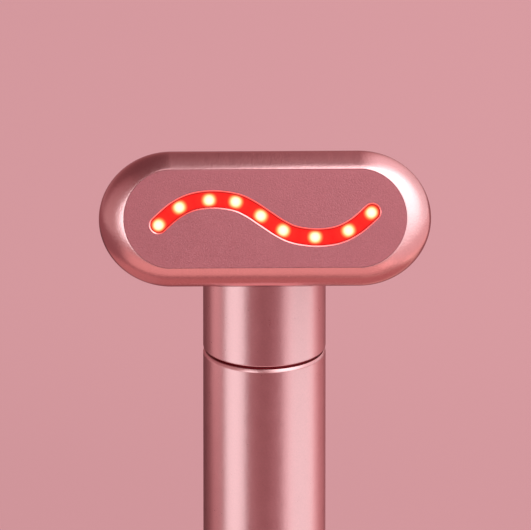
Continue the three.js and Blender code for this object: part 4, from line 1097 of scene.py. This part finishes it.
# Panels aimed at the head: direction and distance from it, shift to the right, size, radiance
headMiddle = Vector((0, -8, 142))
aimed = {"azimuth": 0, "lit": "head"}
panels = {
    "topStrip": {**aimed, "rise": 61, "distance": 100, "aside": 50, "size": (95, 32), "level": 1.75,
                 "tint": (1, 0.93, 0.95), "lit": "all"},
    "topLine": {**aimed, "rise": 53.5, "distance": 100, "aside": 0, "size": (58, 13), "level": 1.9,
                "tint": (1, 0.85, 0.87)},
    "topBack": {**aimed, "azimuth": 180, "rise": 64, "distance": 150, "aside": 77, "size": (150, 200),
                "level": 0.12, "tint": (1, 0.55, 0.6)},
    "plateGlow": {**aimed, "azimuth": -0.8, "rise": 21, "distance": 60, "aside": 24, "size": (40, 50),
                  "level": 0.17, "tint": (1, 0.95, 0.97)},
    "lowFill": {**aimed, "rise": -24.5, "distance": 190, "aside": -50, "size": (300, 145), "level": 0.20,
                "tint": (1, 0.62, 0.60)},
    "lowSoft": {**aimed, "rise": -33, "distance": 190, "aside": -50, "size": (300, 200), "level": 0.13,
                "tint": (1, 0.52, 0.46)},
    "lowWide": {**aimed, "rise": -42, "distance": 190, "aside": -20, "size": (300, 230), "level": 0.27,
                "tint": (1, 0.42, 0.34)},
}
# Cards that lie just above the paper and shine upwards
cardHeight = 3
cards = {
    "nearCard": {"middle": (0, -50), "size": (160, 80), "level": 0.9, "tint": (1, 0.66, 0.64), "lit": "rest"},
    "underHead": {"middle": (0, -35), "size": (300, 130), "level": 0.22, "tint": (1, 0.31, 0.25),
                  "lit": "head"},
    "leftCard": {"middle": (-115, 0), "size": (150, 200), "level": 0.24, "tint": (1, 0.42, 0.38),
                 "lit": "head"},
    "rightCard": {"middle": (108, -26), "size": (190, 188), "level": 0.44, "tint": (1, 0.62, 0.50),
                  "lit": "head"},
}


def receivers(name, things, state):
    chosen = bpy.data.collections.new(name)
    for thing in things:
        chosen.objects.link(thing)
    for entry in chosen.collection_objects:
        entry.light_linking.link_state = state
    return chosen


def areaLight(name, look, width, height, middle, way, lit):
    data = bpy.data.lights.new(name, "AREA")
    data.shape = "RECTANGLE"
    data.size = width * mm
    data.size_y = height * mm
    data.color = look["tint"]
    data.energy = look["level"] * math.pi * data.size * data.size_y
    lamp = bpy.data.objects.new(name, data)
    bpy.context.scene.collection.objects.link(lamp)
    lamp.location = Vector(middle) * mm
    lamp.rotation_mode = "QUATERNION"
    lamp.rotation_quaternion = Vector(way).to_track_quat("Z", "Y")
    lamp.visible_camera = False
    lamp.light_linking.receiver_collection = lit[look["lit"]]


def makeLights():
    head = [bpy.data.objects[name] for name in ("headBezel", "headShell", "headSeal", "facePlate")]
    lit = {
        "head": receivers("litHead", head, "INCLUDE"),
        "rest": receivers("litRest", [*head, bpy.data.objects["floor"]], "EXCLUDE"),
        "all": None,
    }
    for name, box in boxes.items():
        way = pointed(box["azimuth"], 0)
        middle = way * box["distance"] + Vector((0, 0, (box["low"] + box["high"]) / 2))
        areaLight(name, box, box["width"], box["high"] - box["low"], middle, way, lit)
    for name, panel in panels.items():
        way = pointed(panel["azimuth"], panel["rise"])
        middle = headMiddle + way * panel["distance"] + Vector((panel["aside"], 0, 0))
        areaLight(name, panel, *panel["size"], middle, way, lit)
    for name, card in cards.items():
        areaLight(name, card, *card["size"], (*card["middle"], cardHeight), (0, 0, -1), lit)


makeLights()
bpy.context.scene.view_settings.view_transform = "Standard"
print("lights made")
